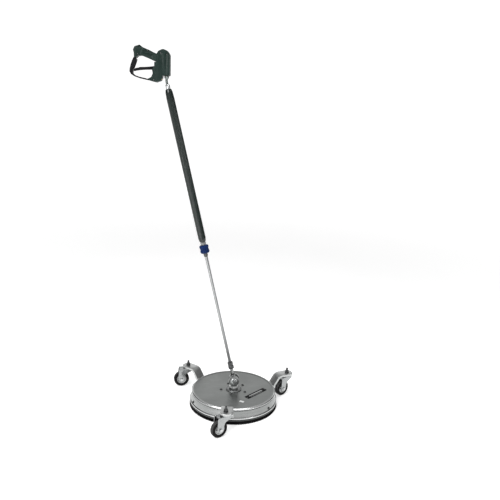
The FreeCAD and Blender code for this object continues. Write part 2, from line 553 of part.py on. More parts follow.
# adapter: male thread in the hand nut, hexagon above it, inner tube in its top
ad = put(revolve([(8.05, 646.4), (11.0, 646.4, 0.5), (11.0, 669.5), (8.05, 669.5)]), L(0), D)
ad = fuse(ad, hexagon(L(668.5), D, 22.0, 12.5, 10, 1.2))
ad = ad.cut(cyl(L(640), D, 8.05, 24.0)).cut(cyl(L(650), D, 4.6, 40)).cut(cyl(L(672), D, INNER_R, 20))
save("upper_adapter", solid(ad))
IT_TOP = 1362.0
save("inner_tube", solid(tube(L(672.1), D, INNER_R - 0.02, 5.2, IT_TOP - 672.1)))
SL0, SL1 = 689.0, 1351.0
sleeve = put(revolve([(INNER_R + 0.02, SL0 + 4.0), (15.5, SL0 + 4.0), (SLEEVE_R, SL0 + 6.0, 2.0), (SLEEVE_R, SL1 - 40.0, 8.0), (15.6, SL1 - 14.0, 6.0), (12.3, SL1, 2.5), (INNER_R + 0.02, SL1)]), L(0), D)
save("grip_sleeve", solid(sleeve))
save("sleeve_end_ring", solid(put(revolve([(INNER_R + 0.02, 681.6), (12.0, 681.6, 0.8), (14.5, 684.5, 1.5), (16.0, 692.6, 1.0), (15.6, SL0 + 3.9), (INNER_R + 0.02, SL0 + 3.9)]), L(0), D)))
# top union nut and the bent outlet tube
un = put(revolve([(5.35, 1351.5), (8.6, 1351.5, 1.0), (9.7, 1354.5, 1.0), (9.7, 1366.0, 1.0), (7.4, 1370.5, 1.0), (5.35, 1370.5)]), L(0), D)
un = un.cut(cyl(L(1350), D, INNER_R + 0.02, 12.1))
save("top_union_nut", solid(un))
B0 = L(1362.4)
B1 = L(1378.0)
# tangent arc from the lean to upright
RB = 30.0
cen = V(B1[0], 0, B1[2]) + V(D[2], 0, -D[0]) * RB
e1 = Part.LineSegment(V(*B0), V(*B1)).toShape()


def arc_pt(t):
    a = th * (1 - t)
    return V(cen.x - RB * math.cos(a), 0, cen.z + RB * math.sin(a) * -1 + 0)


A1 = V(cen.x - RB, 0, cen.z)
am = V(cen.x - RB * math.cos(th / 2), 0, cen.z - RB * math.sin(th / 2))
ZO = 1492.0
e2 = Part.Arc(V(*B1), am, A1).toShape()
e3 = Part.LineSegment(A1, V(A1.x, 0, ZO)).toShape()
wire = Part.Wire([e1, e2, e3])
OX = A1.x


def sweep(r):
    prof = Part.Wire([Part.makeCircle(r, V(*B0), V(*D))])
    return solid(wire.makePipeShell([prof], True, False))


ot = sweep(5.3).cut(sweep(3.0))
of_ = revolve([(0, 1469.5), (7.0, 1469.5, 0.6), (9.6, 1473.5, 1.5), (9.6, 1480.5, 0.8), (8.0, 1481.5), (8.0, 1492.0), (0, 1492.0)], (OX, 0, 0))
of_ = of_.cut(cyl((OX, 0, 1460), (0, 0, 1), 3.0, 60))
ot = fuse(ot, of_)
save("outlet_tube", solid(ot))

# ---------------------------------------------------------------- gun
HT = math.radians(HANDLE_TILT)
HD = (-math.cos(HT), 0.0, math.sin(HT))          # along the handle, towards the hose
HC = (-381.0, 0.0, 1556.0)                       # a point on its centre line


def Hn(t, y=0.0, n=0.0):
    return (HC[0] + HD[0] * t + math.sin(HT) * n, y, HC[2] + HD[2] * t + math.cos(HT) * n)


body_pts = [(-313.5, 1482.0, 5.0), (-313.5, 1566.0, 14.0), (-322.0, 1580.0, 14.0), (-343.0, 1588.0, 16.0), (-362.0, 1579.0, 12.0), (-369.0, 1567.0, 4.0),
            (-369.0, 1535.0, 2.0), (-378.5, 1535.0, 3.0), (-378.5, 1517.0, 2.0), (-388.0, 1506.0, 2.0), (-384.5, 1489.0, 8.0), (-391.0, 1474.5, 6.0), (-404.0, 1467.3, 1.0), (-402.0, 1461.5, 1.0),
            (-386.0, 1457.5, 6.0), (-370.0, 1454.5, 5.0), (-350.0, 1462.0, 6.0), (-344.0, 1474.0, 3.0), (-344.0, 1481.8, 2.0)]
handle_pts = [(-366.0, 1567.0), (-379.0, 1571.5, 3.0), (-399.0, 1581.0, 20.0), (-420.0, 1588.5, 6.0), (-429.0, 1592.5, 4.0), (-439.0, 1600.5, 3.0), (-447.0, 1597.5, 3.0), (-460.0, 1593.5, 5.0),
              (-466.5, 1580.0, 4.0), (-463.0, 1568.0, 4.0), (-462.5, 1553.5, 2.0), (-455.2, 1547.5, 4.0), (-445.0, 1557.5, 6.0), (-431.0, 1559.0, 6.0), (-398.0, 1547.0, 10.0), (-378.5, 1539.0, 2.0), (-366.0, 1535.0)]
HB, HH = GUN_T / 2, 17.0

bodyS = extrude_xz(body_pts, -HB, HB)
handS = extrude_xz(handle_pts, -HH, HH)
flat = lambda y: (lambda e: abs(e.BoundBox.YMin - y) < 1e-6 and abs(e.BoundBox.YMax - y) < 1e-6)
b2 = try_fillet(bodyS, 3.0, lambda e: flat(HB)(e) or flat(-HB)(e))
h2 = try_fillet(handS, 3.5, lambda e: flat(HH)(e) or flat(-HH)(e))
shell = fuse(b2, h2)

# cavities: valve block, outlet, inlet tube, trigger pocket, valve spring
VB_X0, VB_X1, VB_Y, VB_Z0, VB_Z1 = -347.0, -321.0, 11.0, 1482.5, 1552.0
cav = []
cav.append(Part.makeBox(VB_X1 - VB_X0 + 1.0, 2 * VB_Y + 1.0, VB_Z1 - VB_Z0 + 1.0, V(VB_X0 - 0.5, -VB_Y - 0.5, VB_Z0 - 0.5)))
cav.append(Part.makeBox(27.0, 19.0, 36.0, V(-373.5, -9.5, 1466.0)))                    # lower lobe of the valve block
cav.append(cyl((OX, 0, 1455), (0, 0, 1), 10.4, 30))                                    # outlet
cav.append(cyl(Hn(-50), HD, 6.3, 120))                                                 # inlet tube
cav.append(cyl(Hn(62.5), HD, 10.3, 60))                                                  # inlet socket
PX, PZ = GUN_PIVOT
cav.append(extrude_xz([(-392.0, 1501.0), (-350.0, 1501.5), (-350.0, 1521.5), (-368.0, 1528.0), (-392.0, 1530.0)], -8.6, 8.6))   # trigger pocket
for c in cav:
    shell = shell.cut(c)
PIN_R = 3.0
shell = shell.cut(cyl((PX, -16.2, PZ), (0, 1, 0), PIN_R, 32.4))
screw_xz = [(-352.0, 1571.0), (-326.0, 1566.0), (-380.0, 1462.5), (-405.0, 1577.5), (-447.0, 1563.5)]
SC = []
for i, (x, z) in enumerate(screw_xz):
    yo = HB if x > -395 else HH
    shell = shell.cut(cyl((x, -yo - 1, z), (0, 1, 0), 3.4, 3.4)).cut(cyl((x, -yo - 1, z), (0, 1, 0), 1.7, yo + 1 + 9.0))
    s = fuse(cyl((x, -yo + 1.0, z), (0, 1, 0), 1.65, yo + 7.0), put(revolve([(0, 0), (3.2, 0), (3.2, 0.9, 0.5), (2.2, 1.8, 0.8), (0, 1.9)]), (x, -yo + 2.35, z), (0, -1, 0)))
    SC.append(s)
save("shell_screws", group(SC))
big = Part.makeBox(400, 60, 400, V(-560, 0.05, 1350))
big2 = Part.makeBox(400, 60, 400, V(-560, -60.05, 1350))
rear = shell.common(big)
front = shell.common(big2)
save("gun_shell_rear", solid(rear))
save("gun_shell_front", solid(front))

# valve block with its lower lobe
vb = Part.makeBox(VB_X1 - VB_X0, 2 * VB_Y, VB_Z1 - VB_Z0, V(VB_X0, -VB_Y, VB_Z0))
vb = fuse(vb, Part.makeBox(26.5, 18.0, 34.0, V(-373.0, -9.0, 1467.0)))
vb = vb.cut(Part.makeBox(40, 30, 20, V(-346.9 - 40, -15, 1501.0)))
VX = -361.5
vb = vb.cut(cyl((OX, 0, 1470), (0, 0, 1), 8.05, 22.1)).cut(cyl((OX, 0, 1490), (0, 0, 1), 3.0, 52))
vb = vb.cut(cyl((VX, 0, 1494), (0, 0, 1), 3.0 + RUN, 20)).cut(cyl((VX, 0, 1470), (0, 0, 1), 6.5, 24.5))
vb = vb.cut(cyl((VX, 0, 1491), (1, 0, 0), 2.5, 30))
vb = vb.cut(cyl(Hn(-48), HD, 5.05, 60))
save("valve_block", solid(vb))
# poppet: pin above, head below, pushed down by the trigger's short arm
pop = fuse(cyl((VX, 0, 1491.0), (0, 0, 1), 3.0, 16.3), cyl((VX, 0, 1488.0), (0, 0, 1), 5.8, 3.4), cyl((VX, 0, 1481.0), (0, 0, 1), 2.2, 8.0))
save("valve_poppet", solid(pop))
SPZ0, SPZ1 = 1470.2, 1487.8
turns = 6
hx = Part.makeHelix((SPZ1 - SPZ0 - 1.4) / turns, SPZ1 - SPZ0 - 1.4, 4.2)
hx.translate(V(0, 0, 0.7))
prof = Part.Wire([Part.makeCircle(0.6, V(4.2, 0, 0.7), V(0, 1, 0))])
spr = Part.Wire(hx.Edges).makePipeShell([prof], True, True)
save("valve_spring", solid(move(solid(spr), VX, 0, SPZ0)))

# inlet tube through the handle, and its threaded socket
it = tube(Hn(-36.5), HD, 5.0, 3.2, 108.0)
save("inlet_tube", solid(it))
IS0, IS1 = 64.0, 87.0
soc = put(revolve([(0, 0), (10.0, 0, 0.8), (10.0, IS1 - IS0, 0.8), (0, IS1 - IS0)]), Hn(IS0), HD)
soc = soc.cut(cyl(Hn(IS1 - 13.0), HD, INLET_BORE_R, 30)).cut(cyl(Hn(IS0 - 2), HD, 5.02, 9.6)).cut(cyl(Hn(IS0), HD, 3.2, 30))
save("inlet_socket", solid(soc))

# guard: a thick channelled leg on the hose side and a thin strip below
guard_pts = [(-462.6, 1553.2, 0.5), (-470.0, 1540.0, 12.0), (-477.0, 1520.0, 12.0), (-481.0, 1503.0, 8.0), (-481.5, 1493.0, 4.0), (-475.0, 1482.5, 4.0), (-462.0, 1475.0, 6.0), (-440.0, 1468.3, 10.0), (-404.3, 1461.9),
             (-404.3, 1466.8), (-420.0, 1470.0, 8.0), (-440.0, 1473.5, 10.0), (-459.0, 1479.5, 8.0), (-468.5, 1487.0, 4.0), (-468.0, 1500.0, 5.0), (-463.0, 1511.0, 10.0), (-456.0, 1529.0, 10.0), (-451.5, 1543.5, 1.0), (-455.0, 1547.2, 0.5)]
guard = extrude_xz(guard_pts, -13.0, 13.0)
guard = try_fillet(guard, 1.5, lambda e: (flat(13.0)(e) or flat(-13.0)(e)))
TR_TIP = 90.0                                    # trigger tip radius about its pin
groove = cyl((PX, -9.5, PZ), (0, 1, 0), TR_TIP + 0.8, 19.0)
groove = groove.common(Part.makeBox(120, 40, 60, V(-490, -20, 1481.0)))
guard = guard.cut(groove)
save("trigger_guard", solid(guard))
save("trigger_pin", solid(cyl((PX, -16.1, PZ), (0, 1, 0), PIN_R - 0.01, 32.2)))

# trigger: a curved bar with a boss on the pin and a short arm over the poppet
trig_pts = [(-464.3, 1495.5, 1.5), (-455.0, 1498.5, 10.0), (-440.0, 1501.0, 20.0), (-415.0, 1503.8, 20.0), (-392.0, 1505.0, 6.0), (-384.0, 1504.0, 3.0), (-376.0, 1503.8, 5.0), (-366.0, 1507.6, 2.0), (-357.0, 1507.6, 1.5),
            (-356.5, 1513.0, 2.0), (-368.0, 1518.5, 5.0), (-378.0, 1519.5, 5.0), (-392.0, 1517.0, 6.0), (-415.0, 1514.5, 20.0), (-440.0, 1511.5, 20.0), (-456.0, 1508.5, 8.0), (-464.9, 1503.0, 2.5)]
trig = extrude_xz(trig_pts, -8.0, 8.0)
trig = try_fillet(trig, 1.5, lambda e: (flat(8.0)(e) or flat(-8.0)(e)))
trig = trig.cut(cyl((PX, -20, PZ), (0, 1, 0), PIN_R + RUN, 40))
LX, LZ = -441.0, 1510.0                           # safety latch pin on the trigger
trig = trig.cut(Part.makeBox(31.5, 9.6, 10.0, V(-446.0, -4.8, 1505.2)))
trig = trig.cut(cyl((LX, -7.0, LZ), (0, 1, 0), 1.6, 14.0))
trig = solid(trig)
save("trigger", trig)
lat_pts = [(-444.2, 1507.6, 2.0), (-438.0, 1507.2, 1.5), (-417.5, 1510.3, 1.5), (-417.5, 1514.6, 1.5), (-440.0, 1513.2, 2.5), (-444.0, 1512.0, 1.5)]
lat = extrude_xz(lat_pts, -4.5, 4.5)
lat = fuse(lat, cyl((LX, -6.9, LZ), (0, 1, 0), 1.55, 13.8))
save("safety_latch", solid(lat))

# ---------------------------------------------------------------- write
os.makedirs("parts", exist_ok=True)
for f in os.listdir("parts"):
    if f.endswith(".step"):
        os.remove(os.path.join("parts", f))
for name, s in sorted(parts.items()):
    ok = s.isValid()
    vols = [x.Volume for x in s.Solids]
    if not ok or not vols or min(vols) <= 0:
        print("CHECK", name, "valid", ok, "solids", len(vols), "min volume", min(vols) if vols else None)
    s.exportStep("parts/%s.step" % name)
print(len(parts), "parts written")
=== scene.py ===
import bpy, bmesh, json, math, random
from mathutils import Vector, Matrix, Quaternion

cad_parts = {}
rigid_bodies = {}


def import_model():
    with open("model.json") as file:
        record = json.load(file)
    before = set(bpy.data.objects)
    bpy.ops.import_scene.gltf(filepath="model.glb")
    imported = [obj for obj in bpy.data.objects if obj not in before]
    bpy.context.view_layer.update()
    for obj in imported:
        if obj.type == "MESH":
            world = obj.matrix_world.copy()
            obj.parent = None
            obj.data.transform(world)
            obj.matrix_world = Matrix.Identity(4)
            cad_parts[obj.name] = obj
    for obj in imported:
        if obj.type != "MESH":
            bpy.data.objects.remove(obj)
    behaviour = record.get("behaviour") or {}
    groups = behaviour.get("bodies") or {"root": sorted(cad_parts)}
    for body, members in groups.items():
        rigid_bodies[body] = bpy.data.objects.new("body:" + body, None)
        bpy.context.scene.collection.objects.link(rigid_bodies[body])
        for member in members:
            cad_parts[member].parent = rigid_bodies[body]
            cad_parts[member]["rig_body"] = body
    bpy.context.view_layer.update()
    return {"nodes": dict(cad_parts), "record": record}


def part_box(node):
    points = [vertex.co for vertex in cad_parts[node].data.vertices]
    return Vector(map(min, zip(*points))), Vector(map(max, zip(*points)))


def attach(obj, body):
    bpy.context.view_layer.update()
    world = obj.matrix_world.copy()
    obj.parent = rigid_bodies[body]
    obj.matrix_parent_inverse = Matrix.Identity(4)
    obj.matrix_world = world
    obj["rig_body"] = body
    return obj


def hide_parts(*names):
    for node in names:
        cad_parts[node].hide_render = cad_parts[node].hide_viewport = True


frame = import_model()
nodes = frame["nodes"]
record = frame["record"]
SLOT = {s["node"]: s["material_slot"] for s in record["subparts"]}
MM = 0.001
scene = bpy.context.scene
random.seed(7)

# ------------------------------------------------------------------ camera
LENS = 39.6
CAM = (0.0, -2.4107, 1.29006)
PITCH, YAW, ROLL = math.radians(12.646), math.radians(1.2007), math.radians(2.39)
fwd = Vector((math.sin(YAW) * math.cos(PITCH), math.cos(YAW) * math.cos(PITCH), -math.sin(PITCH)))
right0 = Vector((math.cos(YAW), -math.sin(YAW), 0.0))
up0 = right0.cross(fwd)
right = right0 * math.cos(ROLL) + up0 * math.sin(ROLL)
up = -right0 * math.sin(ROLL) + up0 * math.cos(ROLL)
cam_data = bpy.data.cameras.new("camera")
cam_data.lens = LENS
cam_data.sensor_width = 36.0
cam_data.clip_end = 60.0
cam = bpy.data.objects.new("camera", cam_data)
scene.collection.objects.link(cam)
R = Matrix((right, up, -fwd)).transposed()
cam.matrix_world = Matrix.Translation(Vector(CAM)) @ R.to_4x4()
scene.camera = cam


# ------------------------------------------------------------------ materials
def material(name, base, rough, metallic=0.0):
    m = bpy.data.materials.new(name)
    m.use_nodes = True
    nt = m.node_tree
    b = nt.nodes["Principled BSDF"]
    b.inputs["Base Color"].default_value = (*base, 1.0)
    b.inputs["Roughness"].default_value = rough
    b.inputs["Metallic"].default_value = metallic
    return m, nt, b


def coords(nt, scale=(1, 1, 1), rot=(0, 0, 0), kind="Object"):
    tc = nt.nodes.new("ShaderNodeTexCoord")
    mp = nt.nodes.new("ShaderNodeMapping")
    mp.inputs["Scale"].default_value = scale
    mp.inputs["Rotation"].default_value = rot
    nt.links.new(tc.outputs[kind], mp.inputs["Vector"])
    return mp.outputs["Vector"]


def noise(nt, vec, scale, detail=3.0, rough=0.55, distort=0.0):
    n = nt.nodes.new("ShaderNodeTexNoise")
    n.inputs["Scale"].default_value = scale
    n.inputs["Detail"].default_value = detail
    n.inputs["Roughness"].default_value = rough
    n.inputs["Distortion"].default_value = distort
    nt.links.new(vec, n.inputs["Vector"])
    return n.outputs["Fac"]


def remap(nt, value, a, b, c, d):
    r = nt.nodes.new("ShaderNodeMapRange")
    r.inputs["From Min"].default_value = a
    r.inputs["From Max"].default_value = b
    r.inputs["To Min"].default_value = c
    r.inputs["To Max"].default_value = d
    nt.links.new(value, r.inputs["Value"])
    return r.outputs["Result"]


def math_node(nt, op, a, b):
    n = nt.nodes.new("ShaderNodeMath")
    n.operation = op
    for i, v in enumerate((a, b)):
        if isinstance(v, (int, float)):
            n.inputs[i].default_value = v
        else:
            nt.links.new(v, n.inputs[i])
    return n.outputs[0]


def ramp(nt, fac, stops):
    r = nt.nodes.new("ShaderNodeValToRGB")
    els = r.color_ramp.elements
    while len(els) < len(stops):
        els.new(0.5)
    for e, (p, c) in zip(els, stops):
        e.position = p
        e.color = (*c, 1.0)
    nt.links.new(fac, r.inputs["Fac"])
    return r.outputs["Color"]


def mix(nt, fac, a, b):
    m = nt.nodes.new("ShaderNodeMix")
    m.data_type = "RGBA"
    for sock, v in ((m.inputs[0], fac), (m.inputs[6], a), (m.inputs[7], b)):
        if isinstance(v, (int, float)):
            sock.default_value = v
        elif isinstance(v, tuple):
            sock.default_value = (*v, 1.0)
        else:
            nt.links.new(v, sock)
    return m.outputs[2]


def bump(nt, b, height, strength, dist):
    n = nt.nodes.new("ShaderNodeBump")
    n.inputs["Strength"].default_value = strength
    n.inputs["Distance"].default_value = dist
    nt.links.new(height, n.inputs["Height"])
    nt.links.new(n.outputs["Normal"], b.inputs["Normal"])


def edges(nt, lo=0.52, hi=0.60):
    g = nt.nodes.new("ShaderNodeNewGeometry")
    return remap(nt, g.outputs["Pointiness"], lo, hi, 0.0, 1.0)


def tint(c, k):
    return tuple(min(1.0, x * k) for x in c)


def brushed(name, base, rough, stretch, fine=1.0, depth=0.00002, cloud=0.10, aniso=0.0, rot=(0, 0, 0), contrast=0.21):
    """Steel with fine scratches: stretch is the texture's scale along X, Y and Z, small along the brushing."""
    m, nt, b = material(name, base, rough, 1.0)
    v = coords(nt, stretch, rot)
    f1 = noise(nt, v, 1.0 * fine, 4.0, 0.62)
    f2 = noise(nt, v, 3.1 * fine, 3.0, 0.6)
    big = noise(nt, coords(nt, (1, 1, 1)), 9.0, 3.0, 0.5, 0.4)
    streak = math_node(nt, "ADD", math_node(nt, "MULTIPLY", f1, 0.65), math_node(nt, "MULTIPLY", f2, 0.35))
    lo, hi = tint(base, 1.0 - contrast), tint(base, 1.0 + contrast)
    c = ramp(nt, streak, [(0.30, lo), (0.70, hi)])
    c2 = mix(nt, remap(nt, big, 0.35, 0.65, 0.0, cloud * 4.0), c, tint(base, 0.80))
    c3 = mix(nt, edges(nt, 0.53, 0.62), c2, tint(base, 1.5))
    nt.links.new(c3, b.inputs["Base Color"])
    nt.links.new(remap(nt, math_node(nt, "ADD", streak, math_node(nt, "MULTIPLY", big, 0.35)), 0.35, 1.0, rough * 0.8, rough * 1.3), b.inputs["Roughness"])
    if aniso:
        b.inputs["Anisotropic"].default_value = aniso
    bump(nt, b, streak, 0.35, depth)
    return m


def turned(name, base, rough):
    """Bright machined steel: very fine marks and soft smudges."""
    m, nt, b = material(name, base, rough, 1.0)
    v = coords(nt, (1, 1, 1))
    f = noise(nt, v, 900.0, 2.0, 0.5)
    s = noise(nt, v, 55.0, 4.0, 0.6, 0.6)
    c = ramp(nt, s, [(0.25, tint(base, 0.72)), (0.6, base), (0.85, tint(base, 1.12))])
    c = mix(nt, edges(nt, 0.53, 0.63), c, tint(base, 1.35))
    nt.links.new(c, b.inputs["Base Color"])
    nt.links.new(remap(nt, s, 0.25, 0.8, rough * 0.7, rough * 1.6), b.inputs["Roughness"])
    bump(nt, b, f, 0.15, 0.00002)
    return m


def zinc(name, base, rough):
    m, nt, b = material(name, base, rough, 1.0)
    v = coords(nt, (1, 1, 1))
    vo = nt.nodes.new("ShaderNodeTexVoronoi")
    vo.inputs["Scale"].default_value = 380.0
    nt.links.new(v, vo.inputs["Vector"])
    s = noise(nt, v, 70.0, 5.0, 0.65, 0.8)
    cell = nt.nodes.new("ShaderNodeRGBToBW")
    nt.links.new(vo.outputs["Color"], cell.inputs["Color"])
    k = math_node(nt, "ADD", math_node(nt, "MULTIPLY", cell.outputs["Val"], 0.35), math_node(nt, "MULTIPLY", s, 0.65))
    c = ramp(nt, k, [(0.25, tint(base, 0.72)), (0.5, base), (0.8, tint(base, 1.18))])
    c = mix(nt, edges(nt, 0.53, 0.62), c, tint(base, 1.3))
    nt.links.new(c, b.inputs["Base Color"])
    nt.links.new(remap(nt, k, 0.25, 0.8, rough * 0.75, rough * 1.4), b.inputs["Roughness"])
    bump(nt, b, k, 0.12, 0.00004)
    return m


def plastic(name, base, rough, grain=1400.0, depth=0.00005, worn=2.2, spec=0.5):
    """Moulded plastic: a fine spark-eroded grain, faint cloudiness, paler along worn edges."""
    m, nt, b = material(name, base, rough)
    v = coords(nt, (1, 1, 1))
    g = noise(nt, v, grain, 2.0, 0.5)
    s = noise(nt, v, 38.0, 4.0, 0.6, 0.5)
    c = ramp(nt, s, [(0.25, tint(base, 0.78)), (0.55, base), (0.85, tint(base, 1.35))])
    wear = math_node(nt, "MULTIPLY", edges(nt, 0.54, 0.66), remap(nt, noise(nt, v, 160.0, 3.0), 0.35, 0.65, 0.2, 1.0))
    c = mix(nt, wear, c, tint(base, worn))
    nt.links.new(c, b.inputs["Base Color"])
    nt.links.new(remap(nt, math_node(nt, "ADD", math_node(nt, "MULTIPLY", g, 0.3), math_node(nt, "MULTIPLY", s, 0.7)), 0.3, 0.75, rough * 0.85, rough * 1.18), b.inputs["Roughness"])
    b.inputs["Specular IOR Level"].default_value = spec
    bump(nt, b, g, 0.45, depth)
    return m


def rubber(name, base, rough):
    m, nt, b = material(name, base, rough)
    v = coords(nt, (1, 1, 1))
    g = noise(nt, v, 700.0, 3.0, 0.6)
    s = noise(nt, v, 60.0, 5.0, 0.65, 0.6)
    c = ramp(nt, s, [(0.3, tint(base, 0.75)), (0.6, base), (0.9, (0.05, 0.049, 0.047))])
    b.inputs["Specular IOR Level"].default_value = 0.10
    nt.links.new(c, b.inputs["Base Color"])
    nt.links.new(remap(nt, s, 0.3, 0.8, rough * 0.85, min(1.0, rough * 1.15)), b.inputs["Roughness"])
    bump(nt, b, g, 0.4, 0.00008)
    return m


STEEL_TOP = brushed("steel_top", (0.242, 0.252, 0.247), 0.34, (9.0, 420.0, 9.0), 1.0, 0.000015, 0.16, 0.0, (0, 0, math.radians(38)))
STEEL_WALL = brushed("steel_wall", (0.328, 0.338, 0.334), 0.27, (4.0, 4.0, 230.0), 1.0, 0.00003, 0.16, 0.0, (0, 0, 0), 0.42)
STEEL_BRACKET = brushed("steel_bracket", (0.50, 0.51, 0.505), 0.36, (26.0, 26.0, 300.0), 1.0, 0.00002, 0.12)
STEEL_TUBE = brushed("steel_tube", (0.36, 0.366, 0.37), 0.33, (600.0, 600.0, 12.0), 1.0, 0.00002, 0.10)


def darken_toward_bottom(m, z0, z1, amount, colour):
    """Darker towards the bottom: mixes towards colour, thinning out upwards between the heights z0 and z1."""
    nt = m.node_tree
    b = next(n for n in nt.nodes if n.type == "BSDF_PRINCIPLED")
    sock = b.inputs["Base Color"].links[0].from_socket
    z = nt.nodes.new("ShaderNodeSeparateXYZ")
    v = coords(nt, (1, 1, 1))
    nt.links.new(v, z.inputs[0])
    f = math_node(nt, "MULTIPLY", remap(nt, z.outputs["Z"], z0, z1, 1.0, 0.0), remap(nt, noise(nt, v, 30.0, 4.0, 0.6), 0.3, 0.7, amount * 0.75, min(1.0, amount * 1.2)))
    nt.links.new(mix(nt, f, sock, colour), b.inputs["Base Color"])


# the lower tube darker towards the bottom
darken_toward_bottom(STEEL_TUBE, 0.17, 0.42, 0.92, (0.045, 0.046, 0.047))
POLISHED = turned("polished_steel", (0.55, 0.56, 0.565), 0.20)
SATIN = turned("satin_steel", (0.30, 0.306, 0.306), 0.26)
ZINC = zinc("zinc_plate", (0.35, 0.362, 0.362), 0.26)
RIM = zinc("rim_plate", (0.52, 0.53, 0.53), 0.36)
BRASS = turned("brass", (0.60, 0.44, 0.20), 0.28)
BLACK = plastic("black_plastic", (0.022, 0.025, 0.024), 0.42)
GUN = plastic("gun_plastic", (0.0118, 0.0230, 0.0195), 0.36, 1200.0, 0.00006, 1.9, 0.10)
SLEEVE = plastic("sleeve_plastic", (0.004, 0.009, 0.0075), 0.24, 900.0, 0.00004, 3.0, 0.44)
TRIGGER = plastic("trigger_plastic", (0.005, 0.005, 0.006), 0.42, 1500.0, 0.00004, 2.5, 0.08)
BLUE = plastic("blue_plastic", (0.0012, 0.014, 0.075), 0.32, 1200.0, 0.00003, 1.8, 0.12)
TYRE = rubber("tyre_rubber", (0.007, 0.007, 0.007), 0.62)
RUBBER = rubber("seal_rubber", (0.018, 0.018, 0.018), 0.55)
PLATE = plastic("plate_paint", (0.006, 0.0065, 0.0065), 0.55, 900.0, 0.00003, 2.0, 0.05)
# bead: smoother than the top and lit by the overhead lamp; its base is also made much lighter than the sheet's to
# brighten its reflection, a painted highlight
BEAD = brushed("bead_steel", (0.66, 0.67, 0.67), 0.19, (10.0, 10.0, 500.0), 1.0, 0.00001, 0.08)
DARK_ZINC = zinc("dark_zinc", (0.078, 0.080, 0.081), 0.30)
BRIGHT = turned("bright_steel", (0.85, 0.86, 0.86), 0.50)
RING_STEEL = turned("ring_steel", (0.24, 0.246, 0.246), 0.36)
NECK = turned("neck_steel", (0.10, 0.102, 0.103), 0.30)
OUTLET = turned("outlet_steel", (0.21, 0.235, 0.225), 0.30)
TREAD = rubber("tread_rubber", (0.060, 0.060, 0.060), 0.75)
# near-black for the groove under the bead and the crease above the lip: painted shade where only a shadow falls
PAINTED_SEAM_SHADE = rubber("painted_seam_shade", (0.006, 0.006, 0.006), 0.8)
OXIDE = turned("black_oxide", (0.075, 0.077, 0.077), 0.34)
SPRING = turned("spring_steel", (0.45, 0.45, 0.46), 0.25)


def bristle_material():
    m, nt, b = material("bristle_nylon", (0.006, 0.006, 0.006), 0.5)
    b.inputs["Specular IOR Level"].default_value = 0.06
    v = coords(nt, (1, 1, 1))
    s = noise(nt, v, 260.0, 3.0, 0.6)
    z = nt.nodes.new("ShaderNodeSeparateXYZ")
    nt.links.new(v, z.inputs[0])
    dusty = remap(nt, z.outputs["Z"], 0.0, 0.012, 1.0, 0.0)
    c = ramp(nt, s, [(0.3, (0.0012, 0.0012, 0.0012)), (0.7, (0.005, 0.005, 0.0055))])
    c = mix(nt, math_node(nt, "MULTIPLY", dusty, math_node(nt, "MULTIPLY", s, 0.20)), c, (0.05, 0.048, 0.045))
    nt.links.new(c, b.inputs["Base Color"])
    nt.links.new(remap(nt, s, 0.3, 0.7, 0.34, 0.55), b.inputs["Roughness"])
    return m


BRISTLE = bristle_material()

SLOT_MAT = {
    "deck_stainless": STEEL_TOP, "bracket_stainless": STEEL_BRACKET, "polished_steel": POLISHED, "zinc_plate": ZINC,
    "tube_steel": STEEL_TUBE, "brass": BRASS, "brush_black": BRISTLE, "black_plastic": BLACK, "sleeve_rubber": SLEEVE,
    "blue_plastic": BLUE, "black_rubber": RUBBER, "tyre_rubber": TYRE, "rim_grey": RIM, "spring_steel": SPRING,
    "bearing_steel": SATIN, "plate_dark": PLATE,
}


# ------------------------------------------------------------------ mesh helpers
def link(name, me, mat=None, smooth=35.0):
    ob = bpy.data.objects.new(name, me)
    scene.collection.objects.link(ob)
    if mat is not None:
        me.materials.clear()
        for x in (mat if isinstance(mat, (list, tuple)) else [mat]):
            me.materials.append(x)
    if smooth is not None:
        for p in me.polygons:
            p.use_smooth = True
        me.set_sharp_from_angle(angle=math.radians(smooth))
    return ob


def mesh(name, verts, faces, mat=None, smooth=35.0, scale=MM):
    me = bpy.data.meshes.new(name)
    me.from_pydata([tuple(c * scale for c in v) for v in verts], [], faces)
    me.validate()
    bm = bmesh.new()
    bm.from_mesh(me)
    bmesh.ops.recalc_face_normals(bm, faces=bm.faces)
    bm.to_mesh(me)
    bm.free()
    return link(name, me, mat, smooth)


def frame_of(d):
    """Two unit vectors square to d."""
    d = Vector(d).normalized()
    a = Vector((0, 1, 0)) if abs(d.y) < 0.9 else Vector((1, 0, 0))
    u = a.cross(d).normalized()
    return u, d.cross(u), d


def rp(pts, n=6):
    """Closed or open outline in (a, b, radius), corners rounded with n steps."""
    out = []
    k = len(pts)
    for i in range(k):
        p0, p1, p2 = pts[i - 1], pts[i], pts[(i + 1) % k]
        r = p1[2] if len(p1) > 2 else 0.0
        a = Vector((p0[0] - p1[0], p0[1] - p1[1]))
        b = Vector((p2[0] - p1[0], p2[1] - p1[1]))
        la, lb = a.length, b.length
        if r <= 0 or la < 1e-9 or lb < 1e-9:
            out.append((p1[0], p1[1]))
            continue
        a, b = a / la, b / lb
        ang = math.acos(max(-1, min(1, a.dot(b))))
        if abs(math.pi - ang) < 1e-3:
            out.append((p1[0], p1[1]))
            continue
        t = min(r / math.tan(ang / 2), 0.49 * min(la, lb))
        r = t * math.tan(ang / 2)
        c0 = Vector((p1[0], p1[1]))
        cen = c0 + (a + b).normalized() * (r / math.sin(ang / 2))
        s, e = c0 + a * t - cen, c0 + b * t - cen
        sweep = math.pi - ang
        sgn = 1.0 if s.x * e.y - s.y * e.x > 0 else -1.0
        for j in range(n + 1):
            q = sgn * sweep * j / n
            out.append((cen.x + s.x * math.cos(q) - s.y * math.sin(q), cen.y + s.x * math.sin(q) + s.y * math.cos(q)))
    return out


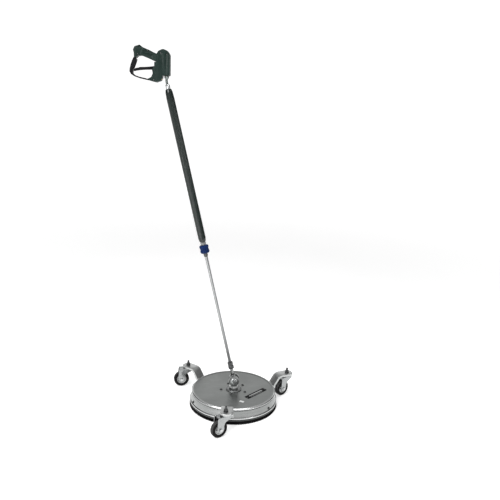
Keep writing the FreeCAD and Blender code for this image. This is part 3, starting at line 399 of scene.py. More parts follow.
def lathe(name, prof, mat, p=(0, 0, 0), d=(0, 0, 1), seg=128, wave=None, smooth=35.0, mats=None):
    """Closed outline in (radius, height) turned about the axis (p, d). wave(angle, r, h) may return another radius."""
    u, v, w = frame_of(d)
    P = Vector(p)
    verts, rings = [], []
    for (r, h) in prof:
        if r < 1e-6:
            rings.append([len(verts)])
            verts.append(P + w * h)
        else:
            ring = []
            for i in range(seg):
                a = 2 * math.pi * i / seg
                rr = wave(a, r, h) if wave else r
                ring.append(len(verts))
                verts.append(P + (u * math.cos(a) + v * math.sin(a)) * rr + w * h)
            rings.append(ring)
    faces = []
    n = len(rings)
    for k in range(n):
        A, B = rings[k], rings[(k + 1) % n]
        if len(A) == 1 and len(B) == 1:
            continue
        for i in range(seg):
            j = (i + 1) % seg
            if len(A) == 1:
                faces.append((A[0], B[i], B[j]))
            elif len(B) == 1:
                faces.append((A[i], A[j], B[0]))
            else:
                faces.append((A[i], A[j], B[j], B[i]))
    return mesh(name, verts, faces, mat, smooth)


def bevel_sharp(bm, width, segs=2, angle=30.0):
    es = [e for e in bm.edges if len(e.link_faces) == 2 and e.calc_face_angle(0.0) > math.radians(angle)]
    if es:
        bmesh.ops.bevel(bm, geom=es, offset=width, offset_type="OFFSET", segments=segs, profile=0.5, affect="EDGES", clamp_overlap=False)


def prism(name, pts, lo, hi, mat, plane="xz", bevel=0.5, segs=3, smooth=35.0):
    """Outline (mm) extruded between lo and hi, its rims rounded."""
    bm = bmesh.new()
    if plane == "xz":
        f = lambda a, b, c: (a * MM, c * MM, b * MM)
    else:
        f = lambda a, b, c: (a * MM, b * MM, c * MM)
    vs0 = [bm.verts.new(f(a, b, lo)) for a, b in pts]
    vs1 = [bm.verts.new(f(a, b, hi)) for a, b in pts]
    f0 = bm.faces.new(vs0)
    f1 = bm.faces.new(vs1[::-1])
    n = len(pts)
    for i in range(n):
        bm.faces.new((vs0[i], vs0[(i + 1) % n], vs1[(i + 1) % n], vs1[i]))
    bmesh.ops.recalc_face_normals(bm, faces=bm.faces)
    if bevel > 0:
        rim = [e for e in bm.edges if f0 in e.link_faces or f1 in e.link_faces]
        bmesh.ops.bevel(bm, geom=rim, offset=bevel * MM, offset_type="OFFSET", segments=segs, profile=0.5, affect="EDGES", clamp_overlap=True)
    me = bpy.data.meshes.new(name)
    bm.to_mesh(me)
    bm.free()
    return link(name, me, mat, smooth)


def refine(node, mat, width=0.4, segs=2, angle=32.0, body=None, name=None):
    """The CAD piece with its sharp edges eased, as a machined or pressed part has them."""
    src = nodes[node]
    bm = bmesh.new()
    bm.from_mesh(src.data)
    bmesh.ops.remove_doubles(bm, verts=bm.verts, dist=2e-6)
    bmesh.ops.dissolve_degenerate(bm, edges=bm.edges, dist=1e-6)
    bmesh.ops.recalc_face_normals(bm, faces=bm.faces)
    if width > 0:
        bmesh.ops.dissolve_limit(bm, angle_limit=math.radians(0.6), verts=bm.verts, edges=bm.edges, use_dissolve_boundaries=False)
        bevel_sharp(bm, width * MM, segs, angle)
    me = bpy.data.meshes.new(name or (node + "_fine"))
    bm.to_mesh(me)
    bm.free()
    ob = link(name or (node + "_fine"), me, mat, 40.0)
    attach(ob, body or src["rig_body"])
    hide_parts(node)
    return ob


def place(ob, body, node=None, slot=None, *more):
    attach(ob, body)
    if node:
        for n in ([node] if isinstance(node, str) else node):
            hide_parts(n)
    return ob


def join(obs, name):
    base = obs[0]
    bm = bmesh.new()
    mats = []
    for o in obs:
        idx = {}
        for i, m in enumerate(o.data.materials):
            if m not in mats:
                mats.append(m)
            idx[i] = mats.index(m)
        me = o.data.copy()
        me.transform(o.matrix_world)
        for p in me.polygons:
            p.material_index = idx.get(p.material_index, 0)
        bm.from_mesh(me)
    me = bpy.data.meshes.new(name)
    bm.to_mesh(me)
    bm.free()
    for m in mats:
        me.materials.append(m)
    for o in obs:
        bpy.data.objects.remove(o)
    ob = bpy.data.objects.new(name, me)
    scene.collection.objects.link(ob)
    return ob


# ------------------------------------------------------------------ shared dimensions (mm)
LIP_R, TOP_R, LOW_R, TOP_Z, BORE_R, SHEET = 206.0, 197.5, 202.5, 69.0, 30.5, 2.0
PCR = 286.0
CASTOR = {"left": (144.2, 12.0), "right": (24.2, 42.0), "front": (-95.8, 35.0)}
TRAIL, AXLE_Z = 33.7, 37.5
PIVOT_Z, LEAN = 117.0, math.radians(13.75)
D = Vector((-math.sin(LEAN), 0.0, math.cos(LEAN)))
BASE = Vector((0, 0, PIVOT_Z))
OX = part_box("outlet_tube")[0].x / MM + 9.6
HT = math.radians(21.0)
HD = Vector((-math.cos(HT), 0.0, math.sin(HT)))
HC = Vector((-381.0, 0.0, 1556.0))
HB, HH = 19.0, 17.0
PX, PZ = -376.0, 1512.0


def polar(r, a, z=0.0):
    return Vector((r * math.cos(math.radians(a)), r * math.sin(math.radians(a)), z))


# ------------------------------------------------------------------ deck cover
def build_cover():
    prof = rp([
        (BORE_R, 67.0), (183.5, 67.0, 4.0), (188.5, 68.4, 3.0), (195.3, 66.4, 2.5), (TOP_R - 2.8, 61.5, 1.5),
        (LOW_R - 2.2, 30.0, 2.0), (LIP_R - 2.8, 27.0, 1.5), (LIP_R - 2.6, 25.0, 1.0), (LIP_R - 5.0, 23.5), (LIP_R - 5.8, 22.0),
        (LIP_R - 2.0, 22.0, 1.5), (LIP_R, 24.0, 1.8), (LIP_R, 28.0, 1.8), (LOW_R, 31.5, 2.0),
        (TOP_R - 0.8, 60.2, 0.5), (195.3, 61.0, 0.4), (195.3, 63.0, 0.5), (197.9, 64.0, 0.6), (TOP_R + 1.1, 65.2, 0.8),
        (TOP_R + 1.1, 67.6, 3.4), (193.0, TOP_Z + 2.3, 3.2), (187.5, TOP_Z + 1.2, 3.0), (184.0, TOP_Z, 4.0),
        (120.0, TOP_Z), (75.0, TOP_Z), (45.0, TOP_Z), (BORE_R, TOP_Z)], 8)
    ob = lathe("cover_sheet", prof, [STEEL_TOP, STEEL_WALL, STEEL_LIP, PAINTED_SEAM_SHADE, BEAD], seg=320, smooth=50.0)
    for p in ob.data.polygons:
        r = math.hypot(p.center.x, p.center.y) / MM
        z = p.center.z / MM
        n = p.normal
        if r < 196.0 and z < 68.7 and not (r > 195.0 and 60.4 < z < 63.9 and n.x * p.center.x + n.y * p.center.y > 0):
            p.material_index = 1                       # inside
        elif z < 30.2:
            p.material_index = 2                       # rolled lip, its lighter colour a painted highlight
        elif z < 32.4:
            p.material_index = 3                       # crease above the lip, painted near-black as shade
        elif z < 60.4:
            p.material_index = 1
        elif z < 64.1:
            p.material_index = 3                       # groove under the bead, painted near-black as shade
        elif r > 191.5:
            p.material_index = 4                       # bead: polished, its lighter colour a painted highlight
        else:
            p.material_index = 0
    place(ob, "deck", "deck_cover")


# ------------------------------------------------------------------ skirt brush
def build_brush():
    verts, faces = [], []
    rnd = random.Random(11)
    rows = [(198.0, 197.9), (199.1, 200.2), (200.2, 202.5), (201.2, 204.7), (202.2, 206.8)]
    per = 1250
    for k, (ra, rb) in enumerate(rows):
        for i in range(per):
            a = 2 * math.pi * (i + 0.5 * (k % 2) + rnd.uniform(-0.3, 0.3)) / per
            r0 = ra + rnd.uniform(-0.35, 0.35)
            r2 = rb + rnd.uniform(-0.55, 0.8)
            r1 = r0 + (r2 - r0) * 0.42 + rnd.uniform(-0.15, 0.15)
            lean = rnd.uniform(-1.6, 1.6) / 205.0
            z2 = rnd.choice((0.02, 0.05, 0.3)) + rnd.uniform(0.0, 0.35)
            z0 = 16.4
            z1 = 8.0
            base = len(verts)
            for (r, z, da, w) in ((r0, z0, 0.0, 0.50), (r1, z1, lean * 0.35, 0.48), (r2, z2, lean, 0.34)):
                c, s = math.cos(a + da), math.sin(a + da)
                for j in range(3):
                    q = 2.0944 * j + a
                    dx, dy = w * math.cos(q), w * math.sin(q)
                    rr = r + dx
                    rr = min(rr, 208.25)
                    verts.append((rr * c - dy * s, rr * s + dy * c, max(z, 0.0)))
            for lv in (0, 1):
                for j in range(3):
                    j2 = (j + 1) % 3
                    faces.append((base + lv * 3 + j, base + lv * 3 + j2, base + lv * 3 + 3 + j2, base + lv * 3 + 3 + j))
            faces.append((base + 6, base + 7, base + 8))
            faces.append((base + 2, base + 1, base))
    me = bpy.data.meshes.new("bristles")
    me.from_pydata([tuple(c * MM for c in v) for v in verts], [], faces)
    me.update()
    ob = link("bristles", me, BRISTLE, 60.0)
    place(ob, "deck", "skirt_brush")
    root = lathe("bristle_root", rp([(197.2, 19.8, 0.3), (203.0, 19.8, 0.3), (203.0, 15.0, 0.8), (202.4, 13.2, 0.5), (198.0, 13.2, 0.5), (197.2, 15.0, 0.8)], 3), RUBBER, seg=192)
    core = lathe("bristle_core", rp([(198.6, 15.0), (201.6, 15.0), (203.2, 8.0, 3.0), (204.6, 1.2), (198.9, 1.2)], 3), BRISTLE, seg=192)
    place(join([root, core], "bristle_roots"), "deck", "skirt_brush")


# ------------------------------------------------------------------ castors
def build_castor(key):
    ang, trail = CASTOR[key]
    P = polar(PCR, ang)
    turn = Matrix.Translation(P * MM) @ Matrix.Rotation(math.radians(trail), 4, "Z")

    def set_down(ob, body, node):
        ob.data.transform(turn)
        ob.data.update()
        place(ob, body, node)
        return ob

    # tyre: crowned tread with fine moulding ribs and a stepped side wall
    side = [(22.55, 9.7, 0.4), (23.6, 10.5, 0.5), (24.2, 10.3, 0.3), (24.9, 11.0, 0.4), (28.0, 11.75, 2.0), (31.5, 11.95, 2.0), (32.2, 11.55, 0.3), (33.0, 11.6, 0.3), (35.4, 10.7, 2.0), (37.0, 8.6, 2.2), (37.5, 6.4, 2.0)]
    tread = [(37.5, 5.0), (37.15, 4.4), (37.15, 3.9), (37.5, 3.3), (37.5, 0.55), (37.2, 0.3)]
    half = side + tread
    prof = [(r, -h, *rest) for r, h, *rest in half] + [(r, h, *rest) for r, h, *rest in half[::-1]]
    ob = lathe("tyre_%s" % key, rp(prof, 4), [TYRE, TREAD], (-TRAIL, 0, AXLE_Z), (0, 1, 0), 144, None, 32.0)
    for p in ob.data.polygons:
        if math.hypot(p.center.x / MM + TRAIL, p.center.z / MM - AXLE_Z) > 36.6:
            p.material_index = 1
    set_down(ob, "wheel_%s" % key, "castor_tyre_%s" % key)

    # rim: dished web with five lightening pockets between its ribs
    rprof = [(4.05, -14.2), (8.5, -14.2, 0.6), (9.2, -10.0, 1.5), (11.0, -5.0, 2.5), (17.0, -4.0, 2.5), (20.0, -9.2, 1.5), (22.5, -9.6, 0.6),
             (22.5, 9.6, 0.6), (20.0, 9.2, 1.5), (17.0, 4.0, 2.5), (11.0, 5.0, 2.5), (9.2, 10.0, 1.5), (8.5, 14.2, 0.6), (4.05, 14.2)]
    ob = lathe("rim_%s" % key, rp(rprof, 5), RIM, (-TRAIL, 0, AXLE_Z), (0, 1, 0), 96, None, 32.0)
    ribs = []
    for sgn in (1, -1):
        for i in range(6):
            q = math.radians(60 * i + 15)
            u = Vector((math.cos(q), 0, math.sin(q)))
            n = Vector((-u.z, 0, u.x))
            pr = rp([(8.0, 2.0), (8.8, 9.6, 0.8), (10.4, 8.4, 1.0), (18.4, 7.0, 1.0), (20.6, 8.4), (20.6, 2.0)], 3)
            vs, fs = [], []
            for y in (-1.0, 1.0):
                for (r, h) in pr:
                    vs.append(Vector((-TRAIL, 0, AXLE_Z)) + u * r + n * y + Vector((0, sgn * h, 0)))
            k = len(pr)
            fs.append(tuple(range(k)))
            fs.append(tuple(range(2 * k - 1, k - 1, -1)))
            for j in range(k):
                fs.append((j, (j + 1) % k, k + (j + 1) % k, k + j))
            ribs.append(mesh("rib", vs, fs, RIM, 30.0))
    ob = join([ob] + ribs, "rim_%s" % key)
    set_down(ob, "wheel_%s" % key, "castor_rim_%s" % key)

    refine("castor_fork_%s" % key, ZINC, 0.55, 3)
    refine("castor_axle_%s" % key, POLISHED, 0.3, 2)


# ------------------------------------------------------------------ lance
def rel(pts):
    return rp(pts, 6)


def build_lance():
    t = lathe("tube_lower", rel([(4.6, 67.9, 0.3), (6.73, 67.9, 0.3), (6.73, 200.0), (6.73, 350.0), (6.73, 500.0), (6.73, 640.0, 0.3), (4.6, 640.0, 0.3)]), STEEL_TUBE, BASE, D, 72)
    place(t, "lance", "lower_tube")

    # grip sleeve: moulded with shallow flutes along its length
    n = 26

    def flutes(a, r, h):
        if r < 15.0 or h < 702.0 or h > 1322.0:
            return r
        k = min(1.0, (h - 702.0) / 4.0, (1322.0 - h) / 6.0)
        f = 0.5 - 0.5 * math.cos(a * n)
        return r - 0.32 * k * f ** 1.4
    zs = [(17.0, 702.0), (17.0, 704.0), (17.0, 706.0)] + [(17.0, 706.0 + i * 55.0) for i in range(1, 11)]
    prof = [(7.52, 693.0), (15.2, 693.0, 0.5), (17.0, 695.5, 1.6)] + zs + [(17.0, 1311.0, 8.0), (16.55, 1319.0), (16.3, 1323.0), (15.6, 1337.0, 6.0), (14.2, 1343.5, 2.0), (12.3, 1351.0, 2.5), (7.52, 1351.0)]
    s = lathe("sleeve", rel(prof), SLEEVE, BASE, D, n * 12, flutes, 40.0)
    place(s, "lance", "grip_sleeve")

    ring = lathe("end_ring", rel([(7.52, 681.6), (11.4, 681.6, 0.8), (12.2, 682.4, 0.4), (14.5, 684.5, 1.5), (15.2, 687.6), (14.9, 688.0, 0.2), (14.9, 688.8, 0.2), (15.4, 689.2), (16.0, 692.3, 0.8), (15.6, 692.9), (7.52, 692.9)]), BLACK, BASE, D, 96)
    place(ring, "lance", "sleeve_end_ring")

    # hand nut: twelve grips, a waist in the middle
    def grips(a, r, h):
        if r < 13.0:
            return r
        ph = (math.degrees(a) + 15.0) % 30.0 - 15.0
        x = abs(ph) / 15.0                         # 0 in a flute, 1 on a lobe
        depth = 1.95 * math.exp(-(x / 0.36) ** 2.2)
        lobe = 0.35 * (x - 0.5) if x > 0.5 else 0.0
        w = min(1.0, max(0.0, (r - 15.5) / 4.0))
        return min(21.0, r - depth * w - (0.18 - lobe) * w)
    prof = [(9.65, 629.0), (11.5, 629.0, 0.6), (16.6, 629.0, 2.2), (20.9, 633.3, 2.6), (21.0, 640.0, 2.2), (19.2, 643.5, 2.2), (19.2, 652.0, 2.2), (21.0, 655.5, 2.2), (21.0, 662.5, 2.6), (17.3, 666.0, 1.6),
            (11.05, 666.0, 0.4), (11.05, 648.0), (11.7, 648.0), (11.7, 639.7), (9.65, 639.7)]
    nut = lathe("hand_nut_body", rel(prof), BLUE, BASE, D, 360, grips, 40.0)
    place(nut, "hand_nut", "hand_nut")

    un = lathe("top_nut", rel([(7.55, 1351.5), (8.6, 1351.5, 0.6), (9.7, 1354.5, 0.8), (9.7, 1356.0), (9.45, 1356.4), (9.45, 1357.2), (9.7, 1357.6), (9.7, 1366.0, 0.9), (7.4, 1370.5, 1.0), (5.35, 1370.5), (5.35, 1363.6), (7.55, 1363.6)]), POLISHED, BASE, D, 96)
    place(un, "lance", "top_union_nut")

    # bent outlet tube with its flared fitting
    RB = 30.0
    B0, B1 = BASE + D * 1362.4, BASE + D * 1378.0
    cen = B1 + Vector((D.z, 0, -D.x)) * RB
    line = [B0, B0.lerp(B1, 0.5), B1]
    for i in range(1, 13):
        a = LEAN * (1 - i / 12.0)
        line.append(Vector((cen.x - RB * math.cos(a), 0, cen.z - RB * math.sin(a))))
    ox = line[-1].x
    top = [(5.3, 1469.2), (6.2, 1469.6), (7.0, 1470.2), (7.6, 1471.3), (9.2, 1473.0), (9.55, 1473.7), (9.6, 1474.5), (9.6, 1479.6), (9.3, 1480.4), (8.6, 1481.2), (8.0, 1481.5), (8.0, 1491.6), (7.6, 1492.0), (3.0, 1492.0)]
    seg = 64
    verts, rings = [], []
    for i, p in enumerate(line):
        t = (line[min(i + 1, len(line) - 1)] - line[max(i - 1, 0)]).normalized()
        if i == len(line) - 1:
            t = Vector((0, 0, 1))
        u = Vector((0, 1, 0)).cross(t).normalized()
        v = Vector((0, 1, 0))
        rings.append([len(verts) + j for j in range(seg)])
        verts += [p + (u * math.cos(2 * math.pi * j / seg) + v * math.sin(2 * math.pi * j / seg)) * 5.3 for j in range(seg)]
    for (r, z) in top:
        rings.append([len(verts) + j for j in range(seg)])
        verts += [Vector((ox + r * math.cos(2 * math.pi * j / seg), r * math.sin(2 * math.pi * j / seg), z)) for j in range(seg)]
    rings.append([len(verts) + j for j in range(seg)])
    verts += [Vector((ox + 3.0 * math.cos(2 * math.pi * j / seg), 3.0 * math.sin(2 * math.pi * j / seg), line[-1].z)) for j in range(seg)]
    for p, q in ((line[2], D), (line[0], D)):
        u = Vector((0, 1, 0)).cross(q).normalized()
        rings.append([len(verts) + j for j in range(seg)])
        verts += [p + (u * math.cos(2 * math.pi * j / seg) + Vector((0, 1, 0)) * math.sin(2 * math.pi * j / seg)) * 3.0 for j in range(seg)]
    faces = []
    for k in range(len(rings)):
        A, B = rings[k], rings[(k + 1) % len(rings)]
        for j in range(seg):
            faces.append((A[j], A[(j + 1) % seg], B[(j + 1) % seg], B[j]))
    o = mesh("outlet", verts, faces, OUTLET, 35.0)
    place(o, "lance", "outlet_tube")


# ------------------------------------------------------------------ gun
def cutter(verts, faces):
    me = bpy.data.meshes.new("cutter")
    me.from_pydata([tuple(c * MM for c in v) for v in verts], [], faces)
    bm = bmesh.new()
    bm.from_mesh(me)
    bmesh.ops.recalc_face_normals(bm, faces=bm.faces)
    bm.to_mesh(me)
    bm.free()
    ob = bpy.data.objects.new("cutter", me)
    scene.collection.objects.link(ob)
    return ob


def groove(p, q, y, w, depth, sgn):
    """Bar along p-q (x, z) on the side face y = sgn * y, to be cut w wide and depth deep with a V-shaped foot."""
    p, q = Vector(p), Vector(q)
    t = (q - p).normalized()
    n = Vector((-t.y, t.x))
    verts = []
    for e in (p, q):
        for (a, b) in ((-w / 2, 3.0), (-w / 2, -0.2 * depth), (-w / 4, -depth), (w / 4, -depth), (w / 2, -0.2 * depth), (w / 2, 3.0)):
            c = e + n * a
            verts.append((c.x, sgn * (y + b), c.y))
    faces = [(0, 1, 2, 3, 4, 5), (11, 10, 9, 8, 7, 6)] + [(i, (i + 1) % 6, 6 + (i + 1) % 6, 6 + i) for i in range(6)]
    return cutter(verts, faces)


def evaluated(ob):
    dg = bpy.context.evaluated_depsgraph_get()
    return bpy.data.meshes.new_from_object(ob.evaluated_get(dg))


def carve(me, cutters, name):
    """Boolean difference of the cutters from the mesh, as a new mesh."""
    ob = bpy.data.objects.new(name, me)
    scene.collection.objects.link(ob)
    col = bpy.data.collections.new(name + "_cut")
    for c in cutters:
        col.objects.link(c)
    md = ob.modifiers.new("cut", "BOOLEAN")
    md.operation = "DIFFERENCE"
    md.solver = "EXACT"
    md.operand_type = "COLLECTION"
    md.collection = col
    bpy.context.view_layer.update()
    out = evaluated(ob)
    bpy.data.objects.remove(ob)
    for c in cutters:
        bpy.data.objects.remove(c)
    bpy.data.collections.remove(col)
    return out


def welded(node):
    bm = bmesh.new()
    bm.from_mesh(nodes[node].data)
    bmesh.ops.remove_doubles(bm, verts=bm.verts, dist=2e-6)
    bmesh.ops.dissolve_degenerate(bm, edges=bm.edges, dist=1e-6)
    bmesh.ops.recalc_face_normals(bm, faces=bm.faces)
    bmesh.ops.dissolve_limit(bm, angle_limit=math.radians(0.6), verts=bm.verts, edges=bm.edges, use_dissolve_boundaries=False)
    me = bpy.data.meshes.new(node + "_w")
    bm.to_mesh(me)
    bm.free()
    return me


def build_shell(node, sgn):
    me = welded(node)
    cuts = [groove((-330.5, 1486.0), (-330.5, 1574.0), HB, 1.6, 0.9, sgn),
            groove((-349.5, 1489.0), (-349.5, 1560.0), HB, 1.2, 0.6, sgn)]
    for k in range(-2, 3):
        nrm = Vector((math.sin(HT), math.cos(HT)))
        c0 = Vector((HC.x, HC.z)) + nrm * (k * 3.9 + 2.6)
        a = c0 + Vector((HD.x, HD.z)) * (6.0 + 1.2 * abs(k))
        b = c0 + Vector((HD.x, HD.z)) * (49.0 - 1.2 * abs(k))
        cuts.append(groove(a, b, HH, 1.8, 0.8, sgn))
    c = Vector((HC.x, HC.z)) + Vector((HD.x, HD.z)) * 57.0
    nrm = Vector((math.sin(HT), math.cos(HT)))
    cuts.append(groove(c - nrm * 30.0, c + nrm * 30.0, HH, 1.4, 0.8, sgn))
    me = carve(me, cuts, node + "_c")
    bm = bmesh.new()
    bm.from_mesh(me)
    bmesh.ops.remove_doubles(bm, verts=bm.verts, dist=5e-6)
    bmesh.ops.dissolve_limit(bm, angle_limit=math.radians(0.6), verts=bm.verts, edges=bm.edges, use_dissolve_boundaries=False)
    bevel_sharp(bm, 0.35 * MM, 2, 30.0)
    me2 = bpy.data.meshes.new(node + "_v")
    bm.to_mesh(me2)
    bm.free()
    ob = link("shell_%s" % ("front" if sgn < 0 else "rear"), me2, GUN, 38.0)
    place(ob, "lance", node)


def build_gun():
    build_shell("gun_shell_front", -1)
    build_shell("gun_shell_rear", 1)
    refine("trigger_guard", TRIGGER, 0.6, 3)
    refine("trigger", TRIGGER, 0.5, 3)
    refine("safety_latch", TRIGGER, 0.35, 2)
    refine("valve_block", BRASS, 0.5, 2)
    refine("valve_poppet", POLISHED, 0.25, 2)
    refine("valve_spring", SPRING, 0.0)
    refine("inlet_tube", POLISHED, 0.25, 2)
    refine("inlet_socket", BRASS, 0.4, 2)
    refine("trigger_pin", POLISHED, 0.3, 2)


def head_screw(name, p, d, r, h, sock, mat, shank=None, kind="hex"):
    """Domed head standing on p along d, with a hexagon socket or a crossed recess, and a shank behind it."""
    def hexed(a, rr, z):
        if abs(rr - sock) < 1e-6 or (z < h and rr < sock + 1e-6 and rr > 0):
            if kind == "hex":
                q = (math.degrees(a) % 60.0) - 30.0
                return rr * math.cos(math.radians(30.0)) / math.cos(math.radians(q))
            q = abs((math.degrees(a) % 90.0) - 45.0) / 45.0
            return rr * (0.34 + 0.66 * q ** 5)
        return rr
    prof = rp([(r * 0.98, 0.0, 0.0), (r, 0.25, 0.2), (r, h * 0.38, h * 0.3), (r * 0.80, h * 0.86, h * 0.5), (r * 0.62, h)], 5)
    prof += [(sock + 0.12, h), (sock, h - 0.12), (sock, h * 0.42), (sock * 0.9, h * 0.36), (0.0, h * 0.30), (0.0, 0.0)]
    ob = lathe(name, prof, mat, p, d, 72, hexed, 32.0)
    parts = [ob]
    if shank:
        sr, sl = shank
        parts.append(lathe(name + "_s", rp([(0, 0.05), (sr, 0.05), (sr, -sl, 0.3), (0, -sl)], 2), mat, p, d, 32))
    return parts


def build_small():
    # deck screws: domed heads with hexagon sockets and their shanks beneath
    ds = []
    for i in range(5):
        p = polar(60.0, 189 + 72 * i, TOP_Z + 0.05)
        ds += head_screw("ds", p, (0, 0, 1), 6.2, 3.2, 2.3, OXIDE, (2.5, 10.4))
    ob = join(ds, "deck_screw_set")
    place(ob, "deck", "deck_screws")
    # shell screws
    ss = []
    for (x, z) in [(-352.0, 1571.0), (-326.0, 1566.0), (-380.0, 1462.5), (-405.0, 1577.5), (-447.0, 1563.5)]:
        yo = HB if x > -395 else HH
        ss += head_screw("ss", (x, -yo + 2.35, z), (0, -1, 0), 3.2, 1.85, 1.5, OXIDE, (1.65, yo + 5.6), "cross")
    ob = join(ss, "shell_screw_set")
    place(ob, "lance", "shell_screws")
    refine("brush_carrier", BLACK, 0.3, 2)
    refine("brush_screws", OXIDE, 0.3, 2)
    refine("castor_brackets", STEEL_BRACKET, 0.7, 3)
    refine("bracket_bolts", POLISHED, 0.25, 2)
    refine("castor_stems", DARK_ZINC, 0.3, 2)
    refine("castor_nuts", DARK_ZINC, 0.3, 2)
    refine("union_body", SATIN, 0.4, 2)
    refine("union_ring", RING_STEEL, 0.3, 2)
    refine("hub_lock_nut", BRIGHT, 0.4, 2)
    refine("tilt_base", SATIN, 0.6, 3)
    refine("pivot_bolt", POLISHED, 0.35, 2)
    refine("pivot_nut", POLISHED, 0.35, 2)
    refine("tilt_eye", SATIN, 0.5, 3)
    nip = lathe("nipple", rp([(3.5, 31.6), (7.0, 31.6), (7.0, 40.0), (7.0, 52.0), (7.0, 58.7, 0.3), (3.5, 58.7)], 3), SATIN, BASE, D, 64)
    sealr = lathe("nipple_seal", rp([(3.5, 28.3), (8.8, 28.3, 0.7), (8.8, 32.5, 0.7), (7.02, 33.6, 0.5), (3.5, 33.6)], 4), RUBBER, BASE, D, 64)
    place(join([nip, sealr], "neck_nipple_body"), "lance", "neck_nipple")
    refine("neck_coupling", NECK, 0.4, 2)
    refine("lower_spigot", NECK, 0.25, 2)
    refine("upper_adapter", SATIN, 0.35, 2)
    refine("inner_tube", STEEL_TUBE, 0.25, 2)
    refine("lance_seals", RUBBER, 0.3, 2)
    refine("union_bearings", SATIN, 0.3, 2)
    refine("union_seal", RUBBER, 0.3, 2)
    refine("rotor_shaft", POLISHED, 0.3, 2)
    refine("rotor_block", SATIN, 0.4, 2)
    refine("spray_arms", STEEL_TUBE, 0.25, 2)
    refine("nozzle_holders", SATIN, 0.4, 2)
    refine("spray_nozzles", BRASS, 0.25, 2)


def build_plate():
    """Blank rating plate: a thin pressed plate with a raised border, a wide blank bar and two rivets."""
    c0, ang = Vector((105.0, -38.0, TOP_Z + 0.02)), math.radians(47.0)
    ca, sa = math.cos(ang), math.sin(ang)
    parts = []

    def slab(w, h, r, z0, z1, mat, bev, dx=0.0, dy=0.0):
        pts = rp([(dx - w / 2, dy - h / 2, r), (dx + w / 2, dy - h / 2, r), (dx + w / 2, dy + h / 2, r), (dx - w / 2, dy + h / 2, r)], 6)
        o = prism("slab", pts, z0, z1, mat, "xy", bev, 2)
        return o
    parts.append(slab(130.0, 27.0, 3.0, 0.0, 0.5, PLATE_EDGE, 0.12))
    parts.append(slab(128.0, 25.0, 2.4, 0.4, 0.62, PLATE, 0.05))
    parts.append(slab(88.0, 8.0, 1.2, 0.5, 0.76, PLATE_FIELD, 0.08, -1.0, 1.2))
    parts.append(slab(80.0, 1.8, 0.5, 0.5, 0.74, PLATE_FIELD, 0.05, -2.0, -8.2))
    for dx in (-60.0, 60.0):
        parts.append(lathe("rivet", rp([(0, 0.3), (1.7, 0.3), (1.7, 0.62, 0.15), (0.9, 0.8, 0.4), (0, 0.8)], 4), POLISHED, (dx, 0, 0), (0, 0, 1), 32))
    ob = join(parts, "rating_plate")
    m = Matrix.Translation(c0 * MM) @ Matrix.Rotation(ang, 4, "Z")
    ob.data.transform(m)
    tag = prism("tag", rp([(-11.0, -7.0, 2.5), (11.0, -7.0, 2.5), (11.0, 7.0, 2.5), (-11.0, 7.0, 2.5)], 6), 0.0, 0.5, TAG, "xy", 0.12, 2)
    tag.data.transform(Matrix.Translation(Vector((39.0, -121.0, TOP_Z + 0.02)) * MM) @ Matrix.Rotation(math.radians(-25.0), 4, "Z"))
    ob = join([ob, tag], "rating_plates")
    place(ob, "deck", "blank_nameplate")


# rolled lip: smoother than the wall, and its base made lighter than the wall's, a painted highlight along the lip
STEEL_LIP = brushed("steel_lip", (0.60, 0.61, 0.61), 0.20, (10.0, 10.0, 500.0), 1.0, 0.00001, 0.08)
PLATE_EDGE = turned("plate_edge", (0.03, 0.031, 0.031), 0.45)
PLATE_FIELD = brushed("plate_field", (0.34, 0.346, 0.346), 0.34, (300.0, 20.0, 20.0))
TAG = plastic("tag_foil", (0.72, 0.74, 0.73), 0.30, 900.0, 0.00002, 1.0)

build_cover()
build_brush()
for key in CASTOR:
    build_castor(key)
build_lance()
build_gun()
build_small()
build_plate()
left = [n for n, o in nodes.items() if not o.hide_render]
for n in left:
    o = nodes[n]
    o.data.materials.clear()
    o.data.materials.append(SLOT_MAT[SLOT[n]])
print("CAD nodes shown:", left)

# ------------------------------------------------------------------ floor and light
FLOOR, nt, b = material("floor_paint", (0.93, 0.93, 0.93), 0.75)
c = ramp(nt, noise(nt, coords(nt), 2.5, 3.0, 0.5), [(0.3, (0.925, 0.925, 0.925)), (0.7, (0.945, 0.945, 0.945))])
nt.links.new(c, b.inputs["Base Color"])
b.inputs["Specular IOR Level"].default_value = 0.1
b.inputs["Emission Color"].default_value = (1.0, 1.0, 1.0, 1.0)
fz = nt.nodes.new("ShaderNodeVectorMath")
fz.operation = "LENGTH"
nt.links.new(coords(nt), fz.inputs[0])
nt.links.new(remap(nt, fz.outputs["Value"], 1.5, 7.0, 0.44, 0.72), b.inputs["Emission Strength"])
bm = bmesh.new()
bmesh.ops.create_grid(bm, x_segments=2, y_segments=2, size=14.0)
me = bpy.data.meshes.new("floor")
bm.to_mesh(me)
bm.free()
floor = bpy.data.objects.new("floor", me)
floor.location = (0, 2.0, -0.0005)
me.materials.append(FLOOR)
scene.collection.objects.link(floor)

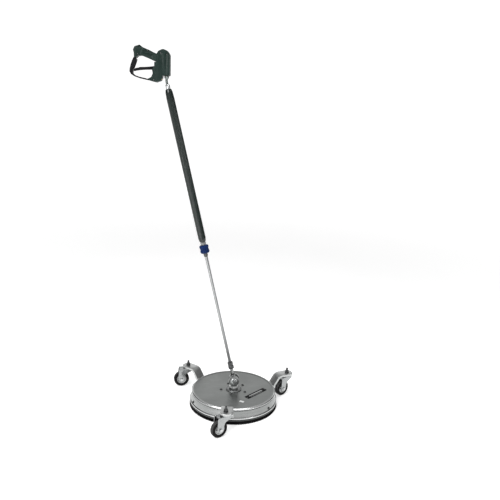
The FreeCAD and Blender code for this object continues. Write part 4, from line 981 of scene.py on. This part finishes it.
world = bpy.data.worlds.new("studio")
scene.world = world
world.use_nodes = True
wn = world.node_tree
bg = wn.nodes["Background"]
tc = wn.nodes.new("ShaderNodeTexCoord")
sp = wn.nodes.new("ShaderNodeSeparateXYZ")
wn.links.new(tc.outputs["Generated"], sp.inputs[0])
back = remap(wn, sp.outputs["Y"], 0.70, 0.84, 0.0, 1.0)            # white backdrop behind the object
front = remap(wn, sp.outputs["Y"], -0.35, -0.85, 0.0, 1.0)         # softer wall on the camera's side
top = remap(wn, sp.outputs["Z"], 0.45, 0.95, 0.0, 1.0)
left = remap(wn, sp.outputs["X"], 0.25, -0.65, 0.0, 1.0)
side = math_node(wn, "ADD", 0.12, math_node(wn, "ADD", math_node(wn, "MULTIPLY", front, math_node(wn, "ADD", 0.20, math_node(wn, "MULTIPLY", left, 0.50))), math_node(wn, "MULTIPLY", top, 0.45)))
lum = math_node(wn, "MAXIMUM", side, math_node(wn, "MULTIPLY", back, 1.08))
wn.links.new(lum, bg.inputs["Strength"])
bg.inputs["Color"].default_value = (1.0, 1.0, 1.0, 1.0)


def area(name, loc, target, size, power, color=(1, 1, 1), size_y=None):
    l = bpy.data.lights.new(name, "AREA")
    l.energy = power
    l.color = color
    l.size = size
    if size_y:
        l.shape = "RECTANGLE"
        l.size_y = size_y
    o = bpy.data.objects.new(name, l)
    o.location = loc
    d = (Vector(target) - Vector(loc)).normalized()
    o.rotation_mode = "QUATERNION"
    o.rotation_quaternion = d.to_track_quat("-Z", "Y")
    scene.collection.objects.link(o)
    return o


area("key", (-1.3, -2.3, 2.7), (0, 0, 0.5), 1.2, 60.0)
area("fill", (2.0, -1.9, 1.7), (0, 0, 0.5), 0.9, 14.0)
area("overhead", (-0.6, -0.25, 3.0), (-0.6, -0.2501, 0.0), 3.4, 20.0, (1, 1, 1), 0.55)
area("low", (-0.9, -2.3, 0.55), (-0.25, 0, 0.9), 0.25, 8.0, (1, 1, 1), 0.9)
scene.view_settings.view_transform = "Standard"
